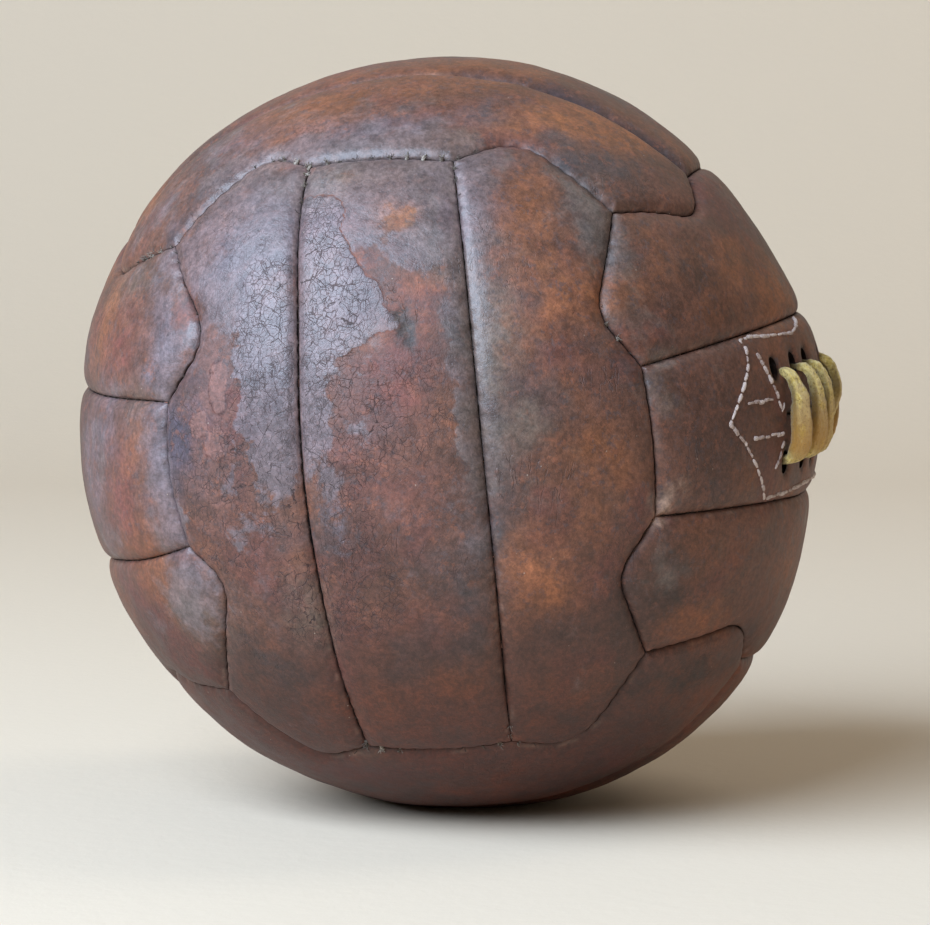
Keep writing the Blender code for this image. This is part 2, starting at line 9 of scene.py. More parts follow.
import bpy
import numpy as np
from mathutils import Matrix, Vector

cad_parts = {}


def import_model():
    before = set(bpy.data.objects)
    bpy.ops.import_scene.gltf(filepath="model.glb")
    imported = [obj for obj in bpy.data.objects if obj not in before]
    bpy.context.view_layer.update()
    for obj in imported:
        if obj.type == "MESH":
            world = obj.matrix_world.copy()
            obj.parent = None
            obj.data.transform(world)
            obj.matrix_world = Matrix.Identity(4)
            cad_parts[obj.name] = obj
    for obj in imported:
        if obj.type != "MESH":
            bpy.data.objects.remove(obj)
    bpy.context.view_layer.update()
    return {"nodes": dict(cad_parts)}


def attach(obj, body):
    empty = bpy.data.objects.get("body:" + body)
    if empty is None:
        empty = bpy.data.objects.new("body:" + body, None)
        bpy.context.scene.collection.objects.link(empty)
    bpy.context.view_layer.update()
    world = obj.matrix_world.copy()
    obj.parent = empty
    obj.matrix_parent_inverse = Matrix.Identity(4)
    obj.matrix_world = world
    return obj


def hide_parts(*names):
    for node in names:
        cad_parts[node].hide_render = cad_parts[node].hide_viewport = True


# ---------------------------------------------------------------- the ball's form, as in the CAD
BALL_RADIUS = 0.110
BALL_MM = 1000.0 * BALL_RADIUS
LEAN = -5.7                  # degrees: the ball leans left
TURN = -8.4                  # degrees: and is turned about its height
REST_PATCH_RADIUS = 0.018
TALLER = 0.035
SKEW = -0.025
TOP_SKEW = 0.032
CORNER_FULLNESS = -0.037
LACING_SWELL = 0.055
LACING_SWELL_REACH = 15.0    # degrees
LACING_SWELL_AXIS = (1.0, -0.03, 0.12)
JOINT_ALONG = 11.1           # where three panels meet, and where a seam turns, in degrees
JOINT_ACROSS = 4.2
NOTCH_ALONG = 19.4
NOTCH_ACROSS = 10.4
NOTCH_ROUND = (0.24, 0.42)
STRIP_HALF = 14.0            # degrees from the middle of a group to its inner seams
# Where the leather has crept: (right, up, creep right, creep up) in degrees
STRETCH = (
    (-17, 48, -2.0, 3.5), (-31, 50, 2.5, -0.5), (-35, 19, 4.0, 1.0), (-41, -11, 3.5, -1.5),
    (-35, -19, 1.5, 4.5), (-45, -35, 2.5, 1.0), (-75, 40, -2.0, -1.0), (45, -35, -3.5, 4.0),
    (67, -33, -2.0, 2.0), (35, -19, 0.0, -1.0),
)
STRETCH_REACH = 16.0

# ---------------------------------------------------------------- the lacing, in metres
# Each bar of the lace runs from an upper hole to a lower one, this far along the slit.
BARS = (
    (0.0385, 0.0360), (0.0265, 0.0225), (0.0175, 0.0125), (0.0025, -0.0020),
    (-0.0105, -0.0135), (-0.0235, -0.0260), (-0.0365, -0.0385),
)
HOLE_UP = 0.0138
HOLE_HALF = (0.0021, 0.0034)
SLIT_HALF = (0.0345, 0.0006)
HOLE_POWER, SLIT_POWER = 2, 6     # a round outline and a long one with blunt ends

# ---------------------------------------------------------------- sewing, in millimetres
SEAM_STITCH_PITCH = 4.9
SEAM_EDGE = 0.18             # a panel's edge lies this far from its seam line between stitches
SEAM_EDGE_AT_STITCH = 0.03
SEAM_EDGE_REACH = 1.3
SEAM_EDGE_WANDER = 0.13
GROOVE_DEPTH = 0.75          # at the seam itself; then the soft shoulder, and the whole panel's swell
GROOVE_REACH = 0.42
SHOULDER_DEPTH = 1.40
SHOULDER_REACH = 2.5
PILLOW_DEPTH = 0.55
PILLOW_REACH = 9.0
PINCH_DEPTH = 0.28
PINCH_REACH = 1.4
RIPPLE_DEPTH = 0.07          # small folds between the stitches
RIPPLE_AT = (2.6, 1.6)
VALLEY_DEPTH = 1.4
VALLEY_REACH = 4.0
TORN_LIFT = 0.10             # the torn finish stands this far up, a flake a little more
FLAKE_LIFT = 0.12
PIT_DEPTH = 0.35
SKIRT_DEPTH = 4.0            # a panel's edge turns in this far, and the wall of a lace hole
HOLE_WALL_DEPTH = 4.2
HOLE_DIP = 0.75              # the leather dips this far at the rim of a lace hole
HOLE_DIP_REACH = 0.8
HOLE_DARK_REACH = 0.7
BROAD_BUMPS = (30.0, 3, 0.5, 240.0)
BROAD_BUMP_HEIGHT = 0.34
FINE_STEP = 0.28             # mesh spacing at a panel's edge
COARSE_STEP = 0.72           # and in its middle
CLOSE_STEP = 0.42            # but this on the panels with the most to show
CLOSE_PANELS = ("lacing_panel", "panel_front_left", "panel_front_middle")

X, Y, Z = np.eye(3)
GROUPS = {
    "front": (-Y, Z, X, ("left", "middle", "right")),
    "back": (Y, Z, X, ("left", "middle", "right")),
    "left": (-X, Y, Z, ("bottom", "middle", "top")),
    "right": (X, Y, Z, ("bottom", "middle", "top")),
    "top": (Z, X, Y, ("front", "middle", "back")),
    "bottom": (-Z, X, Y, ("front", "middle", "back")),
}


def unit(vectors):
    return vectors / np.linalg.norm(vectors, axis=-1, keepdims=True)


def direction(right, up):
    a, b = math.radians(right), math.radians(up)
    return np.array([math.sin(a) * math.cos(b), -math.cos(a) * math.cos(b), math.sin(b)])


def degrees_between(vectors, axis):
    return np.degrees(np.arccos(np.clip(vectors @ axis, -1.0, 1.0)))


def line_length(line):
    """The length of a line on the ball in millimetres."""
    return BALL_MM * np.linalg.norm(np.diff(line, axis=0), axis=1).sum()


def along_line(points):
    """How far along a line each of its points is."""
    return np.concatenate([[0.0], np.cumsum(np.linalg.norm(np.diff(points, axis=0), axis=1))])


def smoothstep(low, high, value):
    t = np.clip((value - low) / (high - low), 0.0, 1.0)
    return t * t * (3.0 - 2.0 * t)


def stretched(vectors):
    moved = vectors.copy()
    for right, up, creep_right, creep_up in STRETCH:
        weight = np.exp(-(degrees_between(vectors, direction(right, up)) / STRETCH_REACH) ** 2)
        moved[..., 0] += weight * math.radians(creep_right)
        moved[..., 2] += weight * math.radians(creep_up)
    return unit(moved)


def ball_radius(vectors):
    x, y, z = vectors[..., 0], vectors[..., 1], vectors[..., 2]
    swell = degrees_between(vectors, unit(np.array(LACING_SWELL_AXIS))) / LACING_SWELL_REACH
    form = (1.0 + TALLER * (z ** 2 - 1 / 3) + SKEW * x * z + TOP_SKEW * x * z ** 2
            + CORNER_FULLNESS * (x ** 4 + y ** 4 + z ** 4 - 0.6) + LACING_SWELL * np.exp(-swell ** 2))
    return BALL_RADIUS * form


def pose_matrix():
    lean, turn = math.radians(LEAN), math.radians(TURN)
    about_y = np.array([[math.cos(lean), 0, math.sin(lean)], [0, 1, 0],
                        [-math.sin(lean), 0, math.cos(lean)]])
    about_z = np.array([[math.cos(turn), -math.sin(turn), 0],
                        [math.sin(turn), math.cos(turn), 0], [0, 0, 1]])
    return about_y @ about_z


POSE = pose_matrix()
DOWN = POSE.T @ -Z
REST_HEIGHT = float(ball_radius(DOWN)) * math.cos(REST_PATCH_RADIUS / BALL_RADIUS)


def surface(vectors, lift=0.0):
    """Points this far over the ball's outer form, which is flat where it rests."""
    radius = ball_radius(vectors)
    lowness = vectors @ DOWN
    flat = np.where(lowness > 0.5, REST_HEIGHT / np.maximum(lowness, 0.5), radius)
    return vectors * (np.minimum(radius, flat) + lift)[..., None]


def placed(points):
    """From the panels' frame to the ball as it rests."""
    return points @ POSE.T + np.array([0.0, 0.0, REST_HEIGHT])


def lacing_direction(along, up):
    a, b = np.asarray(along) / BALL_RADIUS, np.asarray(up) / BALL_RADIUS
    return np.stack([np.cos(a) * np.cos(b), -np.sin(a) * np.cos(b), np.sin(b)], axis=-1)


def lacing_place(vectors):
    """The reverse: along and up, in metres, of unit vectors on the lacing panel."""
    return (BALL_RADIUS * np.arctan2(-vectors[..., 1], vectors[..., 0]),
            BALL_RADIUS * np.arcsin(np.clip(vectors[..., 2], -1.0, 1.0)))


# ---------------------------------------------------------------- noise
LATTICE = np.random.default_rng(7).uniform(-1.0, 1.0, (32, 32, 32))


def noise(points, size, octaves=4, roughness=0.55, offset=0.0):
    """Smooth noise, about -1 to 1, whose largest features are this size."""
    total, weight, scale = 0.0, 0.0, 1.0
    for octave in range(octaves):
        p = points / size * scale + offset + 5.17 * octave
        base = np.floor(p).astype(int)
        f = p - base
        f = f * f * f * (f * (f * 6.0 - 15.0) + 10.0)
        value = 0.0
        for corner in range(8):
            step = np.array([corner & 1, corner >> 1 & 1, corner >> 2 & 1])
            i = (base + step) % 32
            share = np.prod(np.where(step == 1, f, 1.0 - f), axis=-1)
            value = value + share * LATTICE[i[..., 0], i[..., 1], i[..., 2]]
        total = total + value * roughness ** octave
        weight += roughness ** octave
        scale *= 2.0
    return np.clip(total / weight * 1.8, -1.5, 1.5)


def shifted(vectors, amount, size, octaves, roughness, first, step=10.0):
    """Unit vectors moved a little by noise, which makes an outline drawn on them ragged."""
    shift = np.stack([noise(vectors * BALL_MM, size, octaves, roughness, first + step * k)
                      for k in range(3)], axis=1)
    return unit(vectors + amount * shift)


# ---------------------------------------------------------------- seam lines
def on_edge(owner, other, along, degrees_along, degrees_across):
    turn = math.radians(45.0 - degrees_across)
    lat = math.radians(degrees_along)
    return (owner * math.cos(turn) + other * math.sin(turn)) * math.cos(lat) + along * math.sin(lat)


def spaced(points, fractions):
    """Points at these fractions of a line's length."""
    run = along_line(points)
    targets = np.asarray(fractions) * run[-1]
    return unit(np.stack([np.interp(targets, run, points[:, k]) for k in range(3)], axis=1))


def end_seam(owner, other, along, side):
    corner = unit(owner + other + side * along)
    notch = on_edge(owner, other, along, side * NOTCH_ALONG, NOTCH_ACROSS)
    joint = on_edge(owner, other, along, side * JOINT_ALONG, JOINT_ACROSS)
    start = notch + (corner - notch) * NOTCH_ROUND[0]
    stop = notch + (joint - notch) * NOTCH_ROUND[1]
    t = np.linspace(0.0, 1.0, 41)[:, None]
    bend = (1 - t) ** 2 * start + 2 * t * (1 - t) * notch + t ** 2 * stop
    line = np.vstack([np.linspace(corner, start, 20)[:-1], bend, np.linspace(stop, joint, 20)[1:]])
    return unit(line)


def edge_seam(owner, other, along):
    low = end_seam(owner, other, along, -1.0)
    high = end_seam(owner, other, along, 1.0)[::-1]
    middle = unit(np.linspace(low[-1], high[0], 30))
    return np.vstack([low, middle[1:-1], high])


def strip_seam(normal, along, stack, side):
    end = on_edge(along, normal, stack, side * JOINT_ALONG, JOINT_ACROSS)
    reach = math.asin(float(end @ along))
    across_end = abs(float(end @ stack))
    across_waist = math.sin(math.radians(STRIP_HALF))
    t = np.linspace(-1.0, 1.0, 121)
    across = side * (across_end + (across_waist - across_end) * (1.0 - t ** 2))
    height = np.sin(reach * t)
    outward = np.sqrt(1.0 - across ** 2 - height ** 2)
    return outward[:, None] * normal + height[:, None] * along + across[:, None] * stack


def group_facing(normal):
    return next(name for name, (n, _, _, _) in GROUPS.items() if np.allclose(n, normal))


def panel_sides(group, place):
    normal, along, stack, _ = GROUPS[group]

    def long_side(side):
        if place == side:
            return edge_seam(normal, side * stack, along)
        return strip_seam(normal, along, stack, side if place == 0 else place)

    def end_side(side):
        if place == 0:
            low = on_edge(side * along, normal, stack, -JOINT_ALONG, JOINT_ACROSS)
            high = on_edge(side * along, normal, stack, JOINT_ALONG, JOINT_ACROSS)
            return unit(np.linspace(low, high, 40))
        line = end_seam(side * along, normal, stack, place)
        return line[::-1] if place > 0 else line

    return long_side(-1), long_side(1), end_side(-1), end_side(1)


def seam_lines():
    """Every seam by its node's name, on stretched unit vectors."""
    lines = {}
    for group, (normal, along, stack, names) in GROUPS.items():
        for side in (-1, 1):
            strip = stretched(strip_seam(normal, along, stack, side))
            lines[f"thread_{group}_{names[side + 1]}_to_middle"] = strip
            edge = stretched(edge_seam(normal, side * stack, along))
            lines[f"thread_{group}_to_{group_facing(side * stack)}"] = edge
    return lines


SEAMS = seam_lines()


def stitch_places():
    """Where the stitches cross each seam: unit vectors, and the seam's direction there."""
    dice = np.random.default_rng(11)
    places = {}
    for name, line in SEAMS.items():
        count = round(line_length(line) / SEAM_STITCH_PITCH)
        fractions = (np.arange(count) + 0.5 + dice.uniform(-0.16, 0.16, count)) / count
        at = spaced(line, fractions)
        ahead = unit(spaced(line, np.minimum(fractions + 0.002, 1.0)) - spaced(line, fractions - 0.002))
        places[name] = (at, ahead)
    return places


STITCHES = stitch_places()
ALL_STITCHES = np.vstack([at for at, _ in STITCHES.values()])


def inset(loop, distances):
    """Move a closed line of unit vectors inwards by a distance, in radians, at each point."""
    edges = np.roll(loop, -1, axis=0) - loop
    inward = unit(np.cross(loop + 0.5 * edges, edges))
    before = np.roll(inward, 1, axis=0)
    together = np.maximum(1.0 + np.sum(before * inward, axis=1, keepdims=True), 0.4)
    return unit(loop + (before + inward) / together * distances[:, None])


def graded(length, coarse):
    """Fractions along a side of this many millimetres, closer together at its ends."""
    steps, step = [], FINE_STEP
    while sum(steps) < length / 2:
        steps.append(step)
        step = min(step * 1.07, coarse)
    half = np.concatenate([[0.0], np.cumsum(steps)]) / sum(steps) * 0.5
    return np.concatenate([half, 1.0 - half[-2::-1]])


def nearest_stitch(vectors):
    """Millimetres to the nearest stitch."""
    flat = vectors.reshape(-1, 3)
    middle = unit(flat.mean(axis=0))
    reach = degrees_between(flat, middle).max() + 4.0
    near = ALL_STITCHES[degrees_between(ALL_STITCHES, middle) < reach]
    best = np.concatenate([(part @ near.T).max(axis=1) for part in np.array_split(flat, 12)])
    return (BALL_MM * np.sqrt(np.maximum(2.0 - 2.0 * best, 0.0))).reshape(vectors.shape[:-1])


def distance_to_line(vectors, loop):
    """Millimetres from unit vectors to a closed line."""
    flat = vectors.reshape(-1, 3)
    ahead = np.roll(loop, -1, axis=0)
    out = []
    for part in np.array_split(flat, 24):
        nearest = (part @ loop.T).argmax(axis=1)
        best = np.full(len(part), 9.0)
        for start, stop in ((loop, ahead), (np.roll(loop, 1, axis=0), loop)):
            a, b = start[nearest], stop[nearest]
            run = np.sum((b - a) ** 2, axis=1)
            t = np.clip(np.sum((part - a) * (b - a), axis=1) / run, 0.0, 1.0)[:, None]
            best = np.minimum(best, np.linalg.norm(part - a - (b - a) * t, axis=1))
        out.append(best)
    return (BALL_MM * np.concatenate(out)).reshape(vectors.shape[:-1])


def panel_grid(group, place, coarse):
    """A fine grid of unit vectors over one panel, and each one's distance from the seams in mm."""
    low, high, first, last = (stretched(side) for side in panel_sides(group, place))
    u = graded(max(line_length(low), line_length(high)), coarse)
    v = graded(max(line_length(first), line_length(last)), coarse)
    low, high, first, last = spaced(low, u), spaced(high, u), spaced(first, v), spaced(last, v)
    n, m = len(u) - 1, len(v) - 1
    seam = np.vstack([low[:-1], last[:-1], high[::-1][:-1], first[::-1][:-1]])
    centre = unit(seam.mean(axis=0))
    turning = np.cross(seam - centre, np.roll(seam, -1, axis=0) - centre).sum(axis=0) @ centre
    pinch = np.exp(-(nearest_stitch(seam) / SEAM_EDGE_REACH) ** 2)
    wander = SEAM_EDGE_WANDER * noise(seam * BALL_MM, 3.5, 4, 0.7) + oval_share(seam, GAPING, 4)
    edge = np.maximum(SEAM_EDGE + (SEAM_EDGE_AT_STITCH - SEAM_EDGE) * pinch + wander, 0.03)
    loop = inset(seam, math.copysign(0.001 / BALL_RADIUS, turning) * edge)
    low, last = loop[:n + 1], loop[n:n + m + 1]
    high = loop[n + m:2 * n + m + 1][::-1]
    first = np.vstack([loop[2 * n + m:], loop[:1]])[::-1]
    u, v = u[:, None, None], v[None, :, None]
    corners = ((1 - u) * (1 - v) * low[0] + u * (1 - v) * low[-1]
               + (1 - u) * v * high[0] + u * v * high[-1])
    sheet = unit((1 - v) * low[:, None] + v * high[:, None]
                 + (1 - u) * first[None] + u * last[None] - corners)
    return sheet, distance_to_line(sheet, seam)


# ---------------------------------------------------------------- colour on the ball
COLOURS = {
    "brown": (0.118, 0.048, 0.030),
    "red": (0.165, 0.050, 0.038),
    "maroon": (0.115, 0.036, 0.030),
    "rust": (0.200, 0.068, 0.026),
    "orange": (0.280, 0.095, 0.032),
    "bright": (0.430, 0.150, 0.060),
    "tan": (0.320, 0.195, 0.140),
    "umber": (0.060, 0.029, 0.021),
    "slate": (0.056, 0.044, 0.044),
    "soot": (0.026, 0.017, 0.014),
    "mauve": (0.150, 0.105, 0.115),
    "moss": (0.145, 0.105, 0.078),
    "flake": (0.165, 0.074, 0.060),
    "ink": (0.062, 0.047, 0.064),
}

RUBBED_TAN_AND_HIGHLIGHT = (0.256, 0.156, 0.112)
VALLEY_SHADE = (0.034, 0.023, 0.026)
PALE_FLAKE = (0.1815, 0.0814, 0.0660)
FLAKE_RIM = (0.050, 0.009, 0.007)
SEAM_DARK = (0.0156, 0.0102, 0.0084)
TORN_RIM = (0.130, 0.042, 0.026)
PIT_SHADE = (0.058, 0.045, 0.036)
PIT_RIM = (0.026, 0.018, 0.015)
INSIDE_EDGE = (0.0091, 0.00595, 0.0049)
# The old finish: brown on the right, bluer where it is dark; violet on the left and greener on top, partly
# its own tint and partly painted sheen of the bluish window light on the lit side.
HAZE_RIGHT, HAZE_AND_SHEEN_LEFT = (0.132, 0.108, 0.092), (0.168, 0.138, 0.152)
HAZE_AND_SHEEN_TOP, HAZE_BLUE = (0.150, 0.136, 0.108), (0.0, 0.004, 0.012)

# Patches of colour, laid on in this order: (right, up, half width, half height, colour, strength)
PATCHES = (
    # front left strip
    (-28, 18, 3.5, 4.5, "flake", 0.8), (-27, 12, 3.5, 6, "flake", 0.7), (-30, 8, 3.5, 3.5, "red", 0.5),
    (-27, 4, 3.5, 3.5, "flake", 0.6), (-35.5, 25, 2.6, 3, "red", 0.9), (-24, 42, 8, 6, "mauve", 0.5),
    (-34.5, 7, 4.2, 8, "ink", 1.3), (-24, 10, 2.5, 6, "maroon", 0.9), (-23, 1, 2.5, 7, "maroon", 0.8),
    (-29, -3, 4, 6, "flake", 0.6), (-16, -21, 3.5, 6, "moss", 0.8), (-31, -20, 4, 7, "slate", 0.5),
    (-24, -10, 5, 6, "red", 0.35), (-25, -30, 6, 7, "slate", 0.9), (-29, -34, 7, 6, "umber", 0.6),
    (-17, -38, 6, 5, "rust", 0.4), (-23, -2, 6, 6, "umber", 0.3), (-30, 32, 6, 6, "mauve", 0.5),
    # front middle strip
    (-8, 46, 8, 3, "moss", 0.8), (4, 38, 4, 3, "orange", 0.9), (-2, 32, 3, 4, "red", 0.6),
    (2, 45, 6, 2.5, "rust", 0.4), (11, 34, 4, 9, "moss", 0.9), (7, 26, 4.5, 3.5, "red", 0.9),
    (8, 27, 4, 2, "orange", 0.4), (12, 20, 3.5, 4, "slate", 0.9), (3, 14, 6, 7, "red", 0.9),
    (-5, 10, 5, 8, "flake", 0.6), (10, 12, 3.5, 5, "umber", 0.5), (9, 5, 3, 7, "rust", 0.6),
    (3, -5, 6, 6, "red", 0.5), (9, -1, 4, 4, "umber", 0.6), (8, -13, 6, 4, "slate", 0.6),
    (10, -19, 5, 5, "slate", 0.85), (1, -24, 6, 4, "red", 0.45), (7, -34, 5, 4, "rust", 0.7),
    (0, -30, 8, 4, "umber", 0.5), (-8, -38, 6, 5, "rust", 0.5), (-6, 0, 5, 8, "maroon", 0.5),
    (-6, -14, 5, 7, "umber", 0.4),
    # front right strip
    (20, 47, 6, 3, "mauve", 0.7), (18, 38, 4, 8, "mauve", 0.6), (29, 38, 6, 7, "rust", 0.9),
    (38, 32, 3.5, 8, "slate", 0.8), (26, 29, 6, 4, "orange", 0.5), (30, 22, 7, 5, "orange", 0.6),
    (19, 20, 4, 8, "moss", 0.7), (24, 24, 2.5, 2, "slate", 0.6), (26, 14, 6, 4.5, "maroon", 0.6),
    (24, 7, 6, 5, "slate", 0.45), (31, -2, 7, 6, "orange", 0.5), (19, 2, 5, 6, "umber", 0.3),
    (19, 5, 5, 3.5, "moss", 0.7), (16, 12, 3, 5, "moss", 0.6), (14, 4, 2.5, 20, "slate", 0.3),
    (16, -4, 3, 5, "slate", 0.4), (21, -17, 5, 5, "bright", 0.7), (23, -21, 5, 3, "orange", 0.6),
    (31, -12, 4, 5, "orange", 0.3), (31, -18, 4, 5, "maroon", 0.6), (25, -28, 8, 4, "umber", 0.7),
    (17, -35, 6, 4, "umber", 0.5), (28, -37, 8, 4, "rust", 0.5), (15, -12, 2.2, 4, "slate", 0.8),
    (36, -26, 4, 5, "umber", 0.6), (37, 6, 4, 7, "umber", 0.35), (17, -24, 3, 4, "rust", 0.4),
    # right group
    (42, 30, 3, 4, "slate", 0.6), (48, 31, 5, 4, "rust", 0.5), (55, 24, 4.5, 3, "soot", 0.6),
    (46, 19, 6, 3, "umber", 0.5), (69, 24, 8, 5, "orange", 0.5), (69, 30, 8, 2.5, "umber", 0.4),
    (80, 18, 7, 4, "orange", 0.4), (60, 18, 8, 3, "rust", 0.4), (55, 0, 10, 10, "umber", 0.5),
    (44, 4, 4, 8, "brown", 0.5), (43, -8.5, 1.9, 1.6, "tan", 1.3), (41.2, -11, 1.3, 1.8, "tan", 1.3),
    (43, -24, 3.5, 3.2, "soot", 0.9), (54, -18, 8, 4, "rust", 0.5), (51, -29, 7, 3, "orange", 0.8),
    (64, -19, 6, 5, "umber", 0.4), (80, -25, 8, 6, "orange", 0.5), (40, -17, 3, 3, "brown", 0.6),
    (72, 10, 8, 5, "rust", 0.5), (68, -12, 8, 4, "rust", 0.3), (90, -12, 10, 5, "maroon", 0.4),
    # top
    (11, 64, 12, 5, "rust", 0.6), (-10, 59, 9, 4, "mauve", 0.4), (46, 54, 12, 4, "orange", 0.9),
    (62, 49, 8, 5, "orange", 0.9), (30, 57, 2.6, 3, "slate", 0.8), (41, 50, 2.4, 2, "slate", 0.7),
    (43, 45, 4, 2, "slate", 0.8), (50, 42, 5, 1.6, "slate", 0.8), (66, 42, 7, 3, "umber", 0.5),
    # the long umber band at right 75, up 63 lies over the valley between the top panels: leather colour and
    # painted shade
    (75, 63, 30, 2.5, "umber", 0.6), (-32, 63, 10, 5, "rust", 0.6), (-45, 55, 8, 5, "mauve", 0.5),
    (8, 56, 10, 2.5, "mauve", 0.6), (60, 70, 25, 5, "rust", 0.5), (0, 76, 60, 5, "rust", 0.5),
    # left group
    (-60, 25, 5, 8, "orange", 0.4), (-52, 20, 6, 7, "red", 0.8), (-52, 30, 6, 4, "moss", 0.5),
    (-40, 18, 3.5, 7, "mauve", 0.8), (-47, 13, 6, 4, "moss", 0.4), (-50, -3, 6, 8, "red", 0.9),
    (-54, 9, 7, 5, "mauve", 0.6), (-40, 1, 3.5, 8, "mauve", 0.8), (-61, 1, 6, 12, "mauve", 0.8),
    (-37, -15, 3.5, 3.5, "mauve", 0.8), (-39, -21, 5, 6, "moss", 0.9), (-46, -27, 5, 5, "red", 0.7),
    (-52, -22, 5, 6, "maroon", 0.7), (-55, -24, 5, 5, "slate", 0.4), (-56, -17, 5, 4, "maroon", 0.4),
    # bottom
    (-18, -54, 14, 3, "maroon", 0.8), (-16, -49, 3, 1.8, "moss", 0.9), (0, -55, 9, 3, "umber", 0.5),
    (50, -38, 12, 3.5, "soot", 0.8), (79, -43, 10, 4, "rust", 0.6), (46, -46, 10, 4, "umber", 0.5),
)

# Where a seam gapes: (right, up, half sizes, millimetres added on each side).
GAPING = ((-13, 6, 5, 26, 0.22), (-35, 17, 4, 4, 0.30), (39, -2, 3, 8, 0.10))
# Where two panels sink into a valley along their seam, which is also painted dark with shade, given the
# same way with a strength.
VALLEYS = ((45, 70, 8, 5, 0.7), (62, 58, 9, 8, 1.0), (71, 47, 6, 7, 1.0))
# Where a seam is drawn so tight that only a soft crease shows: (right, up, half sizes, strength).
TIGHT = (
    (-38, 41, 9, 9, 1.0), (28, 44, 9, 6, 0.8), (20, -45, 16, 5, 0.9), (-38, -38, 12, 7, 0.8),
    (-50, -34, 8, 4, 0.7), (-30, 47, 8, 5, 0.7), (72, -34, 9, 4, 0.5), (-40, 29, 4, 6, 0.85),
)


def toward(colour, goal, share):
    """Colours moved part of the way to a named colour, or to one given outright."""
    goal = np.array(COLOURS.get(goal, goal))
    return colour + (goal - colour) * np.reshape(share, (-1, 1))


def leather_colour(vectors, seam):
    """Linear colour at unit vectors in the panels' frame; seam is in millimetres."""
    mm = vectors * BALL_MM
    colour = np.array(COLOURS["brown"])[None] * (1.0 + 0.22 * noise(mm, 34.0, 3, 0.5, 3.1)[:, None])
    for name, size, offset, low, strength in (
            ("rust", 30.0, 9.7, 0.0, 0.7), ("maroon", 22.0, 33.9, 0.1, 0.6),
            ("umber", 24.0, 21.3, 0.15, 0.65), ("slate", 16.0, 47.1, 0.35, 0.6)):
        cloud = smoothstep(low, low + 0.7, noise(mm, size, 4, 0.5, offset))
        colour = toward(colour, name, cloud * strength)
    right, up = right_and_up(shifted(vectors, 0.040, 10.0, 6, 0.72, 40.0, 15.0))
    ragged = 0.85 + 0.55 * noise(mm, 5.0, 5, 0.7, 88.0)
    for at_right, at_up, half_right, half_up, name, strength in PATCHES:
        aside = (np.mod(right - at_right + 180.0, 360.0) - 180.0) * math.cos(math.radians(at_up))
        share = np.exp(-((aside / half_right) ** 2 + ((up - at_up) / half_up) ** 2))
        colour = toward(colour, name, np.clip(share * strength * ragged, 0.0, 1.0))
    # painted shade: the underside is darker and redder
    low = smoothstep(-0.10, -0.85, (vectors @ POSE.T)[:, 2])[:, None]
    colour = colour * (1.0 - low * np.array((0.45, 0.68, 0.75)))
    # a paler tan ring on the seam lips: rubbed leather, and painted highlight on the rolled lips
    rubbed_and_highlight = np.exp(-((seam - 1.0) / 0.6) ** 2) * smoothstep(0.0, 0.9, noise(mm, 6.0, 4, 0.6, 140.0))
    colour = toward(colour, RUBBED_TAN_AND_HIGHLIGHT, 0.30 * rubbed_and_highlight)
    # painted shade in the valleys, which reaches further on the side away from the front
    behind = smoothstep(-0.25, -0.21, vectors[:, 1])
    reach = 1.6 + 3.6 * behind + 0.8 * noise(mm, 5.0, 4, 0.6, 170.0)
    valley = np.exp(-(seam / np.maximum(reach, 0.6)) ** 2) * oval_share(vectors, VALLEYS, 4)
    colour = toward(colour, VALLEY_SHADE, 0.95 * valley)
    flake = flake_share(vectors)
    colour = toward(colour, PALE_FLAKE, 0.9 * flake)
    colour = toward(colour, FLAKE_RIM, np.clip(3.4 * flake * (1.0 - flake), 0.0, 0.85))
    # darker close to the seams, and less so where a seam is drawn tight
    seam_dark = np.exp(-(seam / (0.30 + 0.16 * noise(mm, 9.0, 4, 0.65, 150.0))) ** 1.4) * 0.8
    colour = toward(colour, SEAM_DARK, seam_dark * (1.0 - 0.8 * oval_share(vectors, TIGHT, 4)))
    return np.clip(colour, 0.004, 0.9)


# Where the finish is cracked: (right, up, half width, half height, strength) in degrees.
CRACKED = (
    (-17, 20, 7, 14, 1.0), (-20, 2, 9, 13, 1.0), (-34, 8, 4, 8, 1.0), (-33, 3, 5, 12, 0.8),
    (-16, -18, 6, 9, 1.0), (-26, -8, 9, 8, 0.75), (-8, 30, 7, 14, 1.0), (-13, 40, 3, 4, 0.9),
    (-9, 8, 6, 13, 0.95), (2, 8, 10, 12, 0.72), (-6, -14, 7, 12, 0.62), (5, -12, 9, 10, 0.4),
    (-28, -20, 7, 8, 0.5), (-24, 34, 8, 8, 0.35),
)

# Where the old glossy finish is left: (right, up, half width, half height, share) in degrees.
# the long, narrow rows lie on seam shoulders; there the finish's paler tint also stands for the bright
# bands: painted highlight in part
FINISH = (
    (-24, 30, 13, 16, 1.0), (-18, 16, 8, 14, 1.1), (-26, -4, 10, 10, 0.35), (-18, 6, 6, 10, 0.8),
    (-20, -18, 12, 10, 0.3), (1, 37, 11, 10, 0.85), (12, 32, 4, 12, 0.9), (8, 45, 8, 4, 0.9),
    (12, 6, 3, 20, 0.5), (-10, 0, 5, 18, 0.4), (17, 40, 5, 9, 0.8), (14, 12, 3, 28, 0.8),
    (38, 30, 3.5, 13, 0.7), (20, -2, 6, 8, 0.4), (-6, 53, 24, 5, 0.85), (-54, 4, 12, 40, 0.3),
    (-38, 42, 16, 10, 0.6), (-20, 62, 24, 5, 0.4), (-39, 8, 3.0, 20, 0.8), (43, 8, 4, 8, 0.6),
    (41, 28, 3, 8, 0.7), (42, -18, 4, 6, 0.5), (-39, -20, 5, 6, 1.0), (-5, 8, 5, 8, 0.4),
    (-11, 10, 2.5, 10, 0.9), (36, 48, 5, 2.5, 0.3),
)
